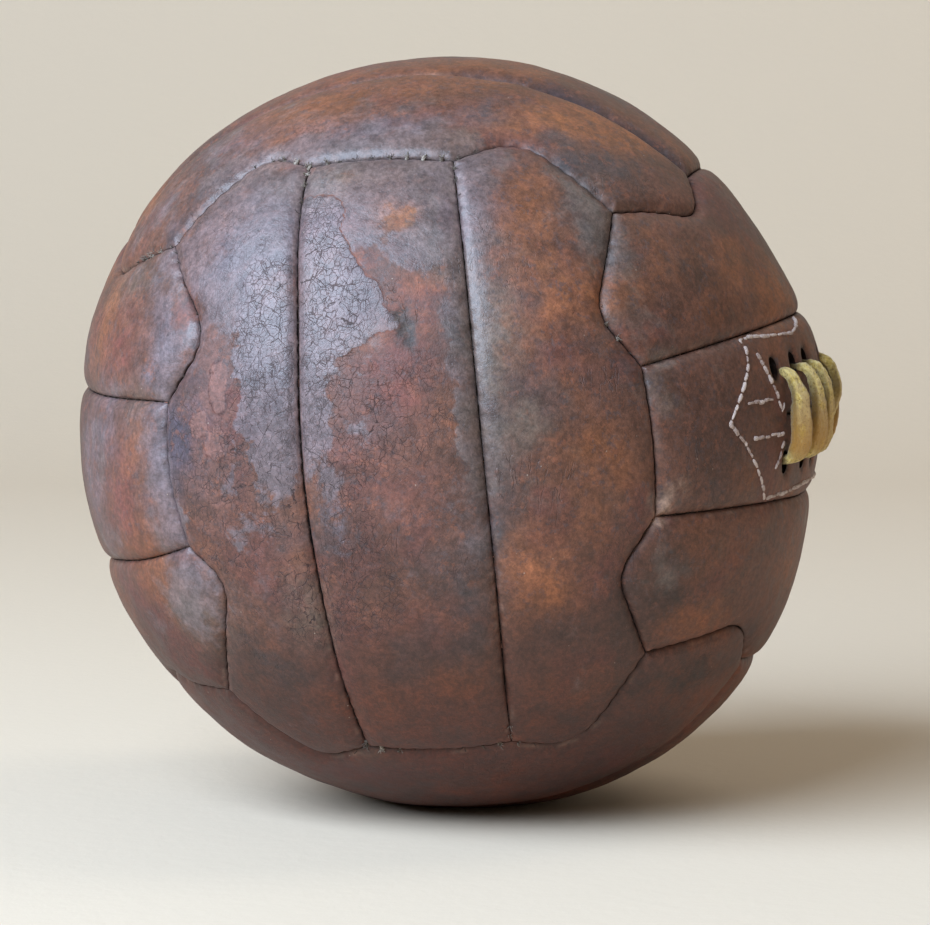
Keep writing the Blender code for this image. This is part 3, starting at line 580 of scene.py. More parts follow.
# and where it is worn through.
BARE = (
    (7, 26, 5, 3.5, 0.9), (3, 13, 6.5, 7, 0.85), (-35.5, 25, 2.8, 3, 0.9), (-28, 14, 4.5, 8, 0.95),
    (-35, 7, 3.5, 9, 0.6), (-28, 6, 4, 4, 0.5), (-60, 24, 5, 8, 0.6), (4, 38, 3, 3, 0.7),
    (-1, 31, 2, 3.5, 0.7), (30, 20, 8, 10, 0.5), (28, 38, 4, 5, 0.7), (21, -17, 6, 6, 0.8),
    (46, 55, 14, 5, 0.7), (62, 48, 8, 6, 0.7), (-50, -2, 5, 10, 0.6), (-50, 22, 6, 7, 0.6),
    (69, 24, 9, 8, 0.6), (-22, 4, 2, 5, 0.6), (-31, -6, 3, 5, 0.5),
)
# Flakes that stand up on the front left strip, given the same way.
FLAKES = (
    (-26.6, 14, 1.8, 4.0, 1.0), (-30.4, 8.8, 1.7, 1.9, 1.0), (-27.4, 5.6, 1.9, 2.4, 1.0),
)
# The rough pit below the torn edge.
PIT = ((4.4, 20.8, 1.0, 2.0, 1.0), (3.2, 22.4, 1.3, 0.8, 1.0))
# The finish that is left on the front middle strip ends at a torn edge: (right, up) in degrees.
TORN_EDGE = (
    (-20, 43), (-15, 43.5), (-9, 43), (-7, 41.5), (-6, 40), (-6.5, 37), (-4, 33), (-1.5, 29), (1, 27),
    (1, 24), (3.5, 22.5), (3, 21), (0.5, 20.5), (-1.5, 19.5), (-5, 17.5), (-9, 17), (-11, 11), (-12, 4),
    (-20, 4),
)


def oval_share(vectors, rows, power):
    """The strongest of several ovals at each direction, and that oval's own strength."""
    total = np.zeros(len(vectors))
    for right, up, half_right, half_up, strength in rows:
        total = np.maximum(total, strength * oval(vectors, right, up, half_right, half_up, power))
    return total


def flake_share(vectors):
    """1 on the flakes that stand up on the front left strip, 0 off them."""
    return smoothstep(0.30, 0.45, oval_share(shifted(vectors, 0.014, 3.5, 4, 0.65, 350.0), FLAKES, 2))


def pit_share(vectors):
    """1 in the rough pit below the torn edge."""
    return oval_share(shifted(vectors, 0.013, 2.2, 4, 0.65, 400.0), PIT, 2)


def crack_amount(vectors):
    """How cracked the finish is, 0 to 1: strongest on the two left front strips."""
    total = oval_share(vectors, CRACKED, 4)
    ragged = 0.25 * noise(vectors * BALL_MM, 12.0, 4, 0.6, 160.0)
    return np.clip(total + ragged * (total > 0.02) + 0.05, 0.0, 1.0)


def right_and_up(vectors):
    """The two angles, in degrees, that places on the front are given by."""
    return (np.degrees(np.arctan2(vectors[:, 0], -vectors[:, 1])),
            np.degrees(np.arcsin(np.clip(vectors[:, 2], -1.0, 1.0))))


def torn_edge(vectors):
    """Degrees inside the torn edge, negative outside it."""
    right, up = right_and_up(vectors)
    right = right + 0.35 * noise(vectors * BALL_MM, 2.5, 3, 0.6, 310.0)
    up = up + 0.35 * noise(vectors * BALL_MM, 2.5, 3, 0.6, 320.0)
    line = np.array(TORN_EDGE)
    nearest, inside = np.full(len(vectors), 99.0), np.zeros(len(vectors), bool)
    for (x0, y0), (x1, y1) in zip(line, np.roll(line, -1, axis=0)):
        run = (x1 - x0) ** 2 + (y1 - y0) ** 2
        t = np.clip(((right - x0) * (x1 - x0) + (up - y0) * (y1 - y0)) / run, 0.0, 1.0)
        nearest = np.minimum(nearest, np.hypot(right - x0 - t * (x1 - x0), up - y0 - t * (y1 - y0)))
        if y0 != y1:
            crossing = (up > min(y0, y1)) & (up <= max(y0, y1))
            inside ^= crossing & (right < x0 + (up - y0) / (y1 - y0) * (x1 - x0))
    return np.where(inside, nearest, -nearest)


def finish_amount(vectors, on_middle_strip):
    """How much of the old glossy finish is left, from 0 to a little over 1."""
    # less finish towards the underside, which dulls it and darkens its colour: the darkening is painted
    # shade
    low = smoothstep(-0.25, -0.75, (vectors @ POSE.T)[:, 2])
    moved = shifted(vectors, 0.035, 7.0, 5, 0.7, 430.0)
    total = np.full(len(vectors), 0.15)
    for right, up, half_right, half_up, share in FINISH:
        total = total + (share - total) * oval(moved, right, up, half_right, half_up, 2)
    total = total * (1.0 - oval_share(moved, BARE, 4)) * (1.0 - 0.8 * low)
    if on_middle_strip:
        total = np.maximum(total, 1.25 * smoothstep(-0.15, 0.15, torn_edge(vectors)))
    return total * (1.0 - np.clip(1.5 * flake_share(vectors), 0.0, 0.95))


def haze_and_sheen_colour(vectors):
    """The tint of the old finish, with painted sheen: violet on the lit left side and greener on top."""
    mm = vectors * BALL_MM
    leftness = smoothstep(0.50, -0.15, vectors[:, 0] + 0.25 * noise(mm, 26.0, 3, 0.5, 330.0))[:, None]
    tint = np.array(HAZE_RIGHT) * (1.0 - leftness) + np.array(HAZE_AND_SHEEN_LEFT) * leftness
    tint = toward(tint, HAZE_AND_SHEEN_TOP, 0.35 * smoothstep(0.60, 0.76, vectors[:, 2]))
    dark = smoothstep(0.0, 0.9, noise(mm, 15.0, 4, 0.6, 340.0))[:, None]
    return tint * (1.0 - 0.45 * dark) + np.array(HAZE_BLUE) * dark


def oval(vectors, right, up, half_right, half_up, power):
    """1 at a direction, falling to 0 past these half sizes in degrees."""
    at = direction(right, up)
    side = direction(right + 90.0, 0.0)
    aside = np.degrees(np.arcsin(np.clip(vectors @ side, -1, 1)))
    above = np.degrees(np.arcsin(np.clip(vectors @ np.cross(side, at), -1, 1)))
    fall = np.abs(aside / half_right) ** power + np.abs(above / half_up) ** power
    return (vectors @ at > 0.0) * np.exp(-fall)


# ---------------------------------------------------------------- meshes
def new_mesh(name, points, faces, attributes):
    mesh = bpy.data.meshes.new(name)
    mesh.from_pydata(points.tolist(), [], faces.tolist() if hasattr(faces, "tolist") else faces)
    for key, values in attributes.items():
        if values.ndim == 1:
            mesh.attributes.new(key, "FLOAT", "POINT").data.foreach_set("value", values.astype(np.float32))
        elif key in ("tone", "haze"):
            rgba = np.concatenate([values, np.ones((len(values), 1))], axis=1).astype(np.float32)
            mesh.attributes.new(key, "FLOAT_COLOR", "POINT").data.foreach_set("color", rgba.ravel())
        else:
            data = mesh.attributes.new(key, "FLOAT_VECTOR", "POINT").data
            data.foreach_set("vector", values.astype(np.float32).ravel())
    mesh.shade_smooth()
    mesh.update()
    return mesh


def show(name, mesh, stuff, nodes):
    thing = bpy.data.objects.new(name, mesh)
    bpy.context.scene.collection.objects.link(thing)
    mesh.materials.append(stuff)
    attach(thing, "root")
    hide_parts(*nodes)


def grid_faces(rows, columns):
    i, j = np.meshgrid(np.arange(rows - 1), np.arange(columns - 1), indexing="ij")
    a = (i * columns + j).ravel()
    return np.stack([a, a + columns, a + columns + 1, a + 1], axis=1)


def facing_out(points, faces):
    """Turn the faces round if they look inwards."""
    a, b, c = (points[faces[:, k]] for k in range(3))
    if np.sum(np.cross(b - a, c - a) * a) < 0.0:
        return faces[:, ::-1]
    return faces


def border(rows, columns):
    """The grid's outer vertices in order round it."""
    low = np.arange(rows) * columns
    last = (rows - 1) * columns + np.arange(columns)
    high = np.arange(rows)[::-1] * columns + columns - 1
    first = np.arange(columns)[::-1]
    return np.concatenate([low[:-1], last[:-1], high[:-1], first[:-1]])


def edge_sink(seam):
    """The leather is drawn down this far, in millimetres, towards a seam."""
    return (SHOULDER_DEPTH * np.exp(-(seam / SHOULDER_REACH) ** 1.6)
            + PILLOW_DEPTH * np.exp(-(seam / PILLOW_REACH) ** 2))


def panel_lift(vectors, seam, name):
    """How far the leather stands over the ball's plain form, in millimetres."""
    mm = vectors * BALL_MM
    stitch = nearest_stitch(vectors)
    softness = 1.0 + 0.25 * noise(mm, 9.0, 2, 0.5, 200.0)
    tight = oval_share(vectors, TIGHT, 4)
    lift = -GROOVE_DEPTH * (1.0 - 0.7 * tight) * np.exp(-(seam / (GROOVE_REACH * softness)) ** 1.4)
    valley = VALLEY_DEPTH * np.exp(-(seam / VALLEY_REACH) ** 2) * oval_share(vectors, VALLEYS, 4)
    lift -= edge_sink(seam) * (1.0 - 0.5 * tight) + valley
    pinch = np.exp(-(stitch / PINCH_REACH) ** 2)
    lift -= PINCH_DEPTH * pinch * (1.0 + 0.4 * noise(mm, 12.0, 2, 0.5, 220.0))
    between = np.cos(np.clip(stitch, 0.0, 6.0) * 2.0 * math.pi / SEAM_STITCH_PITCH)
    lift -= RIPPLE_DEPTH * np.exp(-((seam - RIPPLE_AT[0]) / RIPPLE_AT[1]) ** 2) * between
    lift += BROAD_BUMP_HEIGHT * noise(mm, *BROAD_BUMPS) + 0.07 * noise(mm, 6.0, 3, 0.6, 260.0)
    if name == "panel_front_middle":
        lift += TORN_LIFT * smoothstep(-0.1, 0.15, torn_edge(vectors)) - PIT_DEPTH * pit_share(vectors)
    elif name == "panel_front_left":
        lift += FLAKE_LIFT * flake_share(vectors)
    return lift


def panel_name(group, place):
    if group == "right" and place == 0:
        return "lacing_panel"
    return f"panel_{group}_{GROUPS[group][3][place + 1]}"


def panel_looks(vectors, seam, name):
    """What the leather's material reads at each point of a panel."""
    looks = {"tone": leather_colour(vectors, seam), "haze": haze_and_sheen_colour(vectors), "seam": seam,
             "crack": crack_amount(vectors) * smoothstep(0.5, 1.6, seam),
             "film": finish_amount(vectors, name == "panel_front_middle")}
    if name == "panel_front_middle":
        inside, up, pit = torn_edge(vectors), right_and_up(vectors)[1], pit_share(vectors)
        rim = 0.8 * np.exp(-(inside / 0.20) ** 2) * smoothstep(17.0, 19.5, up)
        tone = toward(toward(looks["tone"], TORN_RIM, rim), PIT_SHADE, 0.9 * pit)
        looks["tone"] = toward(tone, PIT_RIM, 0.9 * np.clip(3.6 * pit * (1.0 - pit), 0.0, 1.0))
        looks["film"] *= (1.0 - rim) * (1.0 - pit)
        looks["crack"] *= 1.0 - 0.85 * smoothstep(0.2, -0.1, inside) * smoothstep(18.0, 21.0, up)
    return looks


def build_panel(group, place, stuff):
    name = panel_name(group, place)
    sheet, seam = panel_grid(group, place, CLOSE_STEP if name in CLOSE_PANELS else COARSE_STEP)
    rows, columns = seam.shape
    vectors, seam = sheet.reshape(-1, 3), seam.ravel()
    lift = panel_lift(vectors, seam, name)
    faces = grid_faces(rows, columns)
    lip, holes = np.zeros(len(vectors)), []
    if name == "lacing_panel":
        vectors, lift, lip, faces, holes = open_panel(vectors, lift, faces)
    points = [surface(vectors, lift * 0.001)]
    faces = [facing_out(points[0], faces)]
    looks = panel_looks(vectors, seam, name)
    # skirts hang from the panel's rim and from its holes, so that the leather shows its thickness
    count = len(vectors)
    hems = [(border(rows, columns), -SKIRT_DEPTH)] + [(hole, -HOLE_WALL_DEPTH) for hole in holes]
    for loop, depth in hems:
        before = loop
        for step in (0.5, 1.0):
            level = lift[loop] + (depth - lift[loop]) * step
            after = np.arange(count, count + len(loop))
            quads = np.stack([before, np.roll(before, -1), np.roll(after, -1), after], axis=1)
            points.append(surface(vectors[loop], level * 0.001))
            faces.append(skirt_outwards(np.vstack(points), quads))
            before = after
            count += len(loop)
    added = count - len(vectors)
    for key, values in looks.items():
        looks[key] = np.concatenate([values, np.zeros((added, *values.shape[1:]))])
    # the turned-in edges are near black, and the leather darkens towards the rims of the lace holes
    looks["tone"][-added:] = INSIDE_EDGE
    looks["tone"] *= 1.0 - 0.75 * np.concatenate([lip, np.ones(added)])[:, None]
    points = placed(np.vstack(points))
    looks["low"] = smoothstep(0.100, 0.040, points[:, 2])
    mesh = new_mesh(name, points, np.vstack(faces), looks)
    show(f"{name}_leather", mesh, stuff, [name])


def skirt_outwards(points, quads):
    """Wind a skirt's faces so that they look away from the middle of what they hang from."""
    middle = points[quads].mean(axis=1)
    a, b, c = (points[quads[:, k]] for k in range(3))
    normal = np.cross(b - a, c - a)
    outward = middle - middle.mean(axis=0)
    return quads if np.sum(normal * outward) > 0.0 else quads[:, ::-1]


def open_panel(vectors, lift, faces):
    """Cut the lace holes and the slit in the lacing panel; the leather dips into them."""
    along, up = lacing_place(vectors)
    lip = np.zeros(len(vectors))
    gone = np.zeros(len(faces), bool)
    shapes = [(upper, HOLE_UP, *HOLE_HALF, HOLE_POWER) for upper, _ in BARS]
    shapes += [(lower, -HOLE_UP, *HOLE_HALF, HOLE_POWER) for _, lower in BARS]
    shapes.append((0.0, 0.0, *SLIT_HALF, SLIT_POWER))
    centre_along, centre_up = along[faces].mean(axis=1), up[faces].mean(axis=1)
    facing = vectors[faces].mean(axis=1)[:, 0] > 0.5
    cuts = []
    for at, height, half_along, half_up, power in shapes:
        inside = (np.abs((centre_along - at) / half_along) ** power
                  + np.abs((centre_up - height) / half_up) ** power < 1.0) & facing
        gone |= inside
        cuts.append(inside)
    kept = faces[~gone]
    loops = []
    for (at, height, half_along, half_up, power), inside in zip(shapes, cuts):
        loop = boundary_loop(faces[inside])
        if loop is None:
            continue
        da, du = along[loop] - at, up[loop] - height
        reach = (np.abs(da / half_along) ** power + np.abs(du / half_up) ** power) ** (1.0 / power)
        if power == HOLE_POWER:
            da, du = da / reach, du / reach
        else:
            da = np.clip(da, -half_along, half_along)
            room = (1.0 - np.abs(da / half_along) ** power) ** (1.0 / power)
            du = np.sign(du) * half_up * room
        along[loop], up[loop] = at + da, height + du
        vectors[loop] = lacing_direction(along[loop], up[loop])
        loops.append(loop)
        if power == HOLE_POWER:
            out = np.hypot((along - at) / half_along, (up - height) / half_up)
            out = np.maximum(out - 1.0, 0.0) * 1000.0 * half_along
        else:
            out = 1000.0 * np.hypot(np.maximum(np.abs(along - at) - half_along, 0.0),
                                    np.maximum(np.abs(up - height) - half_up, 0.0))
        close = vectors[:, 0] > 0.5
        lift = lift - close * HOLE_DIP * np.exp(-out / HOLE_DIP_REACH)
        lip = np.maximum(lip, close * np.exp(-(out / HOLE_DARK_REACH) ** 1.5))
    return vectors, lift, lip, kept, loops


def boundary_loop(faces):
    """The outline of a patch of faces, in order."""
    if not len(faces):
        return None
    ahead = {}
    edges = {(int(f[k]), int(f[(k + 1) % 4])) for f in faces for k in range(4)}
    for a, b in edges:
        if (b, a) not in edges:
            ahead[a] = b
    start = min(ahead)
    loop, at = [start], ahead[start]
    while at != start and len(loop) <= len(ahead):
        loop.append(at)
        at = ahead[at]
    return np.array(loop)


# ---------------------------------------------------------------- thread, stitches and lace
def tube_faces(rings, sides, start=0):
    """The faces of a capped tube of several rings."""
    faces = []
    for i in range(rings - 1):
        for k in range(sides):
            a, b = start + i * sides + k, start + i * sides + (k + 1) % sides
            faces.append((a, b, b + sides, a + sides))
    last = start + (rings - 1) * sides
    return faces + [tuple(range(start, start + sides))[::-1], tuple(range(last, last + sides))]


def tube_parts(lines, radii, sides=8, roughen=0.0, seed=0):
    """Capped round tubes along several lines, as one mesh's points and faces."""
    points, faces, shade, count = [], [], [], 0
    turns = np.linspace(0.0, 2.0 * math.pi, sides, endpoint=False)
    dice = np.random.default_rng(seed)
    for line, radius in zip(lines, radii):
        ahead = unit(np.gradient(line, axis=0))
        side = unit(np.cross(ahead, unit(line.mean(axis=0))))
        over = np.cross(side, ahead)
        n = len(line)
        if np.isscalar(radius):
            radius = radius * np.sqrt(np.clip(1.0 - np.linspace(-1.0, 1.0, n) ** 6, 0.02, 1.0))
        size = radius[:, None, None] * (1.0 + roughen * dice.uniform(-1, 1, (n, sides, 1)))
        ring = (line[:, None] + size * (np.cos(turns)[None, :, None] * side[:, None]
                                        + np.sin(turns)[None, :, None] * over[:, None]))
        points.append(ring.reshape(-1, 3))
        faces += tube_faces(n, sides, count)
        shade.append(np.full(n * sides, dice.uniform(0.0, 1.0)))
        count += n * sides
    return np.vstack(points), faces, np.concatenate(shade)


THREAD_SIDES = 6
STITCH_DEPTH = 3.2           # millimetres below the ball's plain form
STITCH_HALF, STITCH_RADIUS, CORD_RADIUS, FIBRE_RADIUS = 0.0006, 0.00042, 0.00040, 0.00011
CORD_LIFT, FIBRE_ROOT = -0.0036, -0.0022
FIBRES = 16                  # at the palest stitches
# Where the sewing shows pale through the seam: (right, up, reach) in degrees.
PALE_SEWING = (
    (4, 47, 4), (10, 49, 6), (-20, 50, 6), (36, 16, 3), (-13, -49, 3), (14, -47, 4), (-50, 33, 6),
)


def build_seam_thread(name, stuff):
    """The stitches across one seam with their loose fibres, and the cord that joins them below."""
    dice = np.random.default_rng(sum(map(ord, name)))
    lines, radii, pale = [], [], []
    for place, run in zip(*STITCHES[name]):
        across = np.cross(place, run)
        glow = max(math.exp(-(float(degrees_between(place, direction(r, u))) / reach) ** 2)
                   for r, u, reach in PALE_SEWING)
        half = STITCH_HALF * (1.0 + glow) / BALL_RADIUS
        slant = dice.uniform(-0.35, 0.35)
        t = np.linspace(-1.0, 1.0, 7)[:, None]
        line = unit(place + (across + slant * run) * t * half)
        depth = STITCH_DEPTH + 0.4 * t[:, 0] ** 2 - 1.2 * glow - dice.uniform(-0.25, 0.15)
        lines.append(surface(line, depth * -0.001))
        radii.append(STITCH_RADIUS + 0.0001 * glow)
        fibres = int(round(glow * FIBRES))
        for _ in range(fibres):
            lean = dice.uniform(-1.0, 1.0, 3) * 0.0011
            root = surface(unit(place + across * dice.uniform(-0.6, 0.6) * half), FIBRE_ROOT)
            tip = root + place * dice.uniform(0.0002, 0.0013) + lean
            t = np.linspace(0.0, 1.0, 4)[:, None]
            bend = dice.uniform(-1.0, 1.0, 3) * 0.0004
            lines.append(root + (tip - root) * t + bend * np.sin(math.pi * t))
        radii += [FIBRE_RADIUS] * fibres
        pale += [glow] * (fibres + 1)
    ends = np.linspace(0.01, 0.99, max(20, len(STITCHES[name][0]) * 4))
    cord = surface(spaced(SEAMS[name], ends), CORD_LIFT)
    lines.append(cord)
    radii.append(np.full(len(cord), CORD_RADIUS))
    pale.append(0.0)
    points, faces, shade = tube_parts(lines, radii, THREAD_SIDES)
    glow = np.repeat(pale, [len(line) * THREAD_SIDES for line in lines])
    mesh = new_mesh(name, placed(points), faces, {"pale": glow, "shade": shade})
    show(f"{name}_sewing", mesh, stuff, [name])


# The patch's outline: from the seam above its front, round the front, underneath and back.
PATCH_STITCHES = (
    (0.0130, 0.0265), (0.0150, 0.0245), (0.0215, 0.0222), (0.0350, 0.0232), (0.0466, 0.0243),
    (0.0522, 0.0237), (0.0518, 0.0205), (0.0527, 0.0171), (0.0573, 0.0110), (0.0620, 0.0058),
    (0.0669, 0.0010), (0.0607, -0.0052), (0.0540, -0.0143), (0.0510, -0.0190), (0.0483, -0.0229),
    (0.0350, -0.0230), (0.0128, -0.0215), (0.0, -0.0220), (-0.0220, -0.0215), (-0.0500, -0.0225),
    (-0.0520, -0.0190), (-0.0670, 0.0), (-0.0520, 0.0190), (-0.0500, 0.0225), (-0.0220, 0.0215),
    (-0.0140, 0.0262),
)
TONGUE_STITCHES = {
    "upper_diagonal": ((0.0470, 0.0190), (0.0400, 0.0055), (0.0386, 0.0010), (0.0366, 0.0036)),
    "upper_bar": ((0.0575, 0.0056), (0.0425, 0.0052)),
    "lower_bar": ((0.0560, -0.0045), (0.0385, -0.0052)),
    "lower_diagonal": ((0.0382, -0.0071), (0.0415, -0.0124), (0.0440, -0.0147)),
}


DASH_LENGTH, DASH_GAP, DASH_ASKEW, DASH_RADIUS = 0.0029, 0.0003, 0.00026, 0.00054
DASH_LIFT, DASH_HUMP = -0.45, 0.50    # the ends' height over the leather in mm, and the middle's over them
DASH_POINTS = 9


def lacing_loop():
    """The closed line of the seams round the lacing panel."""
    low, high, first, last = (stretched(side) for side in panel_sides("right", 0))
    return np.vstack([low, last, high[::-1], first[::-1]])


LACING_LOOP = lacing_loop()


def build_dashes(name, corners, stuff, seed):
    """A line of thick white stitches that dip into the leather between one and the next."""
    corners = np.array(corners)
    run = along_line(corners)
    share = np.linspace(0.0, 1.0, DASH_POINTS)
    hump = DASH_HUMP * np.sin(math.pi * share) ** 0.5
    dice = np.random.default_rng(seed)
    lines, radii, at = [], [], 0.0
    while at < run[-1] - 0.0008:
        length = min(DASH_LENGTH * dice.uniform(0.55, 1.5), run[-1] - at)
        t = at + length * share
        askew = dice.uniform(-1.0, 1.0, (2, 2)) * DASH_ASKEW
        along = np.interp(t, run, corners[:, 0]) + np.linspace(*askew[0], DASH_POINTS)
        up = np.interp(t, run, corners[:, 1]) + np.linspace(*askew[1], DASH_POINTS)
        vectors = lacing_direction(along, up)
        base = -edge_sink(distance_to_line(vectors, LACING_LOOP))
        base += BROAD_BUMP_HEIGHT * noise(vectors * BALL_MM, *BROAD_BUMPS)
        lines.append(surface(vectors, (base + DASH_LIFT + hump) * 0.001))
        radii.append(DASH_RADIUS * dice.uniform(0.65, 1.25))
        at += length + DASH_GAP * dice.uniform(-0.5, 1.8)
    points, faces, shade = tube_parts(lines, radii, 10, 0.20, seed)
    mesh = new_mesh(name, placed(points), faces, {"shade": shade})
    show(f"{name}_thread", mesh, stuff, [name])


# One bar of the lace: up (share of the holes' height), lift over the leather, width and thickness in mm.
LACE_BAR = (
    (0.93, -5.0, 3.6, 2.2), (0.91, -1.8, 3.3, 2.3), (0.86, 0.8, 3.4, 2.4), (0.72, 2.2, 4.1, 2.6),
    (0.50, 3.0, 5.2, 2.8), (0.22, 3.5, 6.6, 2.9), (-0.08, 3.7, 7.6, 3.0), (-0.36, 3.7, 8.1, 3.0),
    (-0.60, 3.4, 8.0, 3.0), (-0.80, 2.6, 7.3, 2.9), (-0.92, 0.9, 5.6, 2.6), (-0.96, -1.6, 3.8, 2.3),
    (-0.96, -5.0, 3.6, 2.2),
)
LACE_PIECES = 14             # fine pieces between two places on the lace
LACE_SIDES = 40
LACE_INSIDE = (-6.5, 4.8, 2.2, 0.0)   # lift, width, thickness (mm) and turn under the leather
LACE_ENDS = ((0.0026, 0.0085), (0.0009, 0.0047))   # how far it runs on past the last holes, in metres
# Degrees each bar's face turns towards the front, and how far its middle is pulled back, in metres.
LACE_TILT = (27.0, 24.0, 16.0, 0.0, -3.0, 2.0, 5.0)
LACE_BOW = (0.0022, 0.0024, 0.0026, 0.0034, -0.0010, 0.0008, -0.0008)
# how far each bar's upper and lower half stand over the others, in millimetres,
LACE_RISE = ((0.5, 0.5), (0.1, 0.0), (-0.4, -0.9), (0.4, -2.6), (0.0, 0.0), (0.3, 0.3), (0.0, 0.0))
# how far its top is pulled back, in metres, and its width beside the widest's
LACE_TOP_SHIFT = (0.0040, 0.0028, 0.0018, 0.0034, 0.0010, 0.0010, 0.0010)
LACE_WIDTH = (0.94, 0.78, 0.62, 0.56, 0.9, 1.0, 0.95)


def smooth_line(points, pieces):
    padded = np.vstack([2 * points[0] - points[1], points, 2 * points[-1] - points[-2]])
    t = np.linspace(0.0, 1.0, pieces, endpoint=False)[:, None]
    line = []
    for a, b, c, d in zip(padded[:-3], padded[1:-2], padded[2:-1], padded[3:]):
        line.append(0.5 * (2 * b + (c - a) * t + (2 * a - 5 * b + 4 * c - d) * t ** 2
                           + (3 * b - a - 3 * c + d) * t ** 3))
    return np.vstack(line + [points[-1:]])


def build_lace(stuff):
    dice = np.random.default_rng(5)
    route = [(BARS[0][0] - past, HOLE_UP + above, *LACE_INSIDE) for past, above in LACE_ENDS]
    bars = zip(BARS, LACE_TILT, LACE_BOW, LACE_RISE, LACE_TOP_SHIFT, LACE_WIDTH)
    for number, ((upper, lower), tilt, bow, (rise, low_rise), top_shift, breadth) in enumerate(bars):
        for share, lift, width, thick in LACE_BAR:
            down = min(max(0.5 - 0.5 * share, 0.0), 1.0)
            lean = upper + (lower - upper) * down
            lean -= bow * math.sin(math.pi * down) + top_shift * max(share, 0.0)
            turned = math.radians(tilt) * float(smoothstep(-1.0, 2.5, lift))
            swell = rise + (low_rise - rise) * float(smoothstep(0.3, -0.5, share))
            lift += swell * max(1.0 - share ** 2, 0.0)
            width *= breadth * dice.uniform(0.94, 1.0)
            route.append((lean, share * HOLE_UP, lift, width, thick, turned))
        if number + 1 < len(BARS):
            onward = BARS[number + 1][0] - lower
            route += [(lower + onward * (0.5 - k), -2 * k * HOLE_UP, *LACE_INSIDE) for k in (0.28, -0.28)]
    route += [(BARS[-1][1] + past, -HOLE_UP - below, *LACE_INSIDE) for past, below in LACE_ENDS[::-1]]
    route = np.array(route)
    centre = surface(lacing_direction(route[:, 0], route[:, 1]), route[:, 2] * 0.001)
    centre = smooth_line(centre, LACE_PIECES)
    size = smooth_line(route[:, 3:5], LACE_PIECES) * 0.001
    sway = smooth_line(route[:, 5:], LACE_PIECES)[:, 0]
    up = smooth_line(route[:, 1:2], LACE_PIECES)[:, 0]
    lift = smooth_line(route[:, 2:3], LACE_PIECES)[:, 0]
    ahead = unit(np.gradient(centre, axis=0))
    turn = np.arctan2(-centre[:, 1], centre[:, 0])
    slitwise = np.stack([-np.sin(turn), -np.cos(turn), np.zeros(len(turn))], axis=1)
    side = unit(slitwise - ahead * np.sum(ahead * slitwise, axis=1, keepdims=True))
    over = np.cross(ahead, side)
    run = along_line(centre) * 1000.0
    sway = sway + 0.06 * np.sin(run / 9.0) + 0.05 * np.sin(run / 4.1 + 1.0)
    side, over = (side * np.cos(sway)[:, None] + over * np.sin(sway)[:, None],
                  over * np.cos(sway)[:, None] - side * np.sin(sway)[:, None])
    turns = np.linspace(0.0, 2.0 * math.pi, LACE_SIDES, endpoint=False)
    a = 0.5 * np.sign(np.cos(turns)) * np.abs(np.cos(turns)) ** 0.55
    b = 0.5 * np.sign(np.sin(turns)) * np.abs(np.sin(turns)) ** 0.7
    ring = (centre[:, None] + side[:, None] * (a[None] * size[:, :1])[..., None]
            + over[:, None] * (b[None] * size[:, 1:])[..., None])
    fuzz = noise(ring * 1000.0, 1.3, 4, 0.7, 300.0)[..., None]
    lumps = noise(ring * 1000.0, 5.0, 2, 0.5, 380.0)[..., None]
    spread = unit(ring - centre[:, None])
    ring = ring + spread * (0.00020 * fuzz + 0.00022 * lumps)
    n = len(centre)
    faces = [(face[0], *face[:0:-1]) for face in tube_faces(n, LACE_SIDES)]
    strand = np.stack([np.repeat(run, LACE_SIDES),
                       np.tile(a, n) * np.repeat(size[:, 0], LACE_SIDES) * 1000.0,
                       np.tile(b, n) * np.repeat(size[:, 1], LACE_SIDES) * 1000.0], axis=1)
    outer = np.repeat(smoothstep(1.0, 4.0, lift), LACE_SIDES)
    # the lower ends of the bars turn darker and more orange: the lace's own colour, and painted shade
    lowness = np.repeat(smoothstep(0.6, -0.95, up / HOLE_UP), LACE_SIDES) * outer
    # painted shade: the lace turns dark where it dips under the leather
    inner = np.repeat(smoothstep(1.2, -1.5, lift), LACE_SIDES)
    face = np.tile(smoothstep(-0.1, -0.45, b), n) * outer
    # darker brown edges on the bars: worn suede, and painted shade in the gaps between the bars
    rim = np.tile(smoothstep(0.30, 0.48, np.abs(a)), n) * outer
    points = placed(ring.reshape(-1, 3))
    mesh = new_mesh("lace", points, faces, {"strand": strand, "lowness": lowness, "inner": inner,
                                            "face": face, "rim": rim})
    show("lace_suede", mesh, stuff, ["lace"])


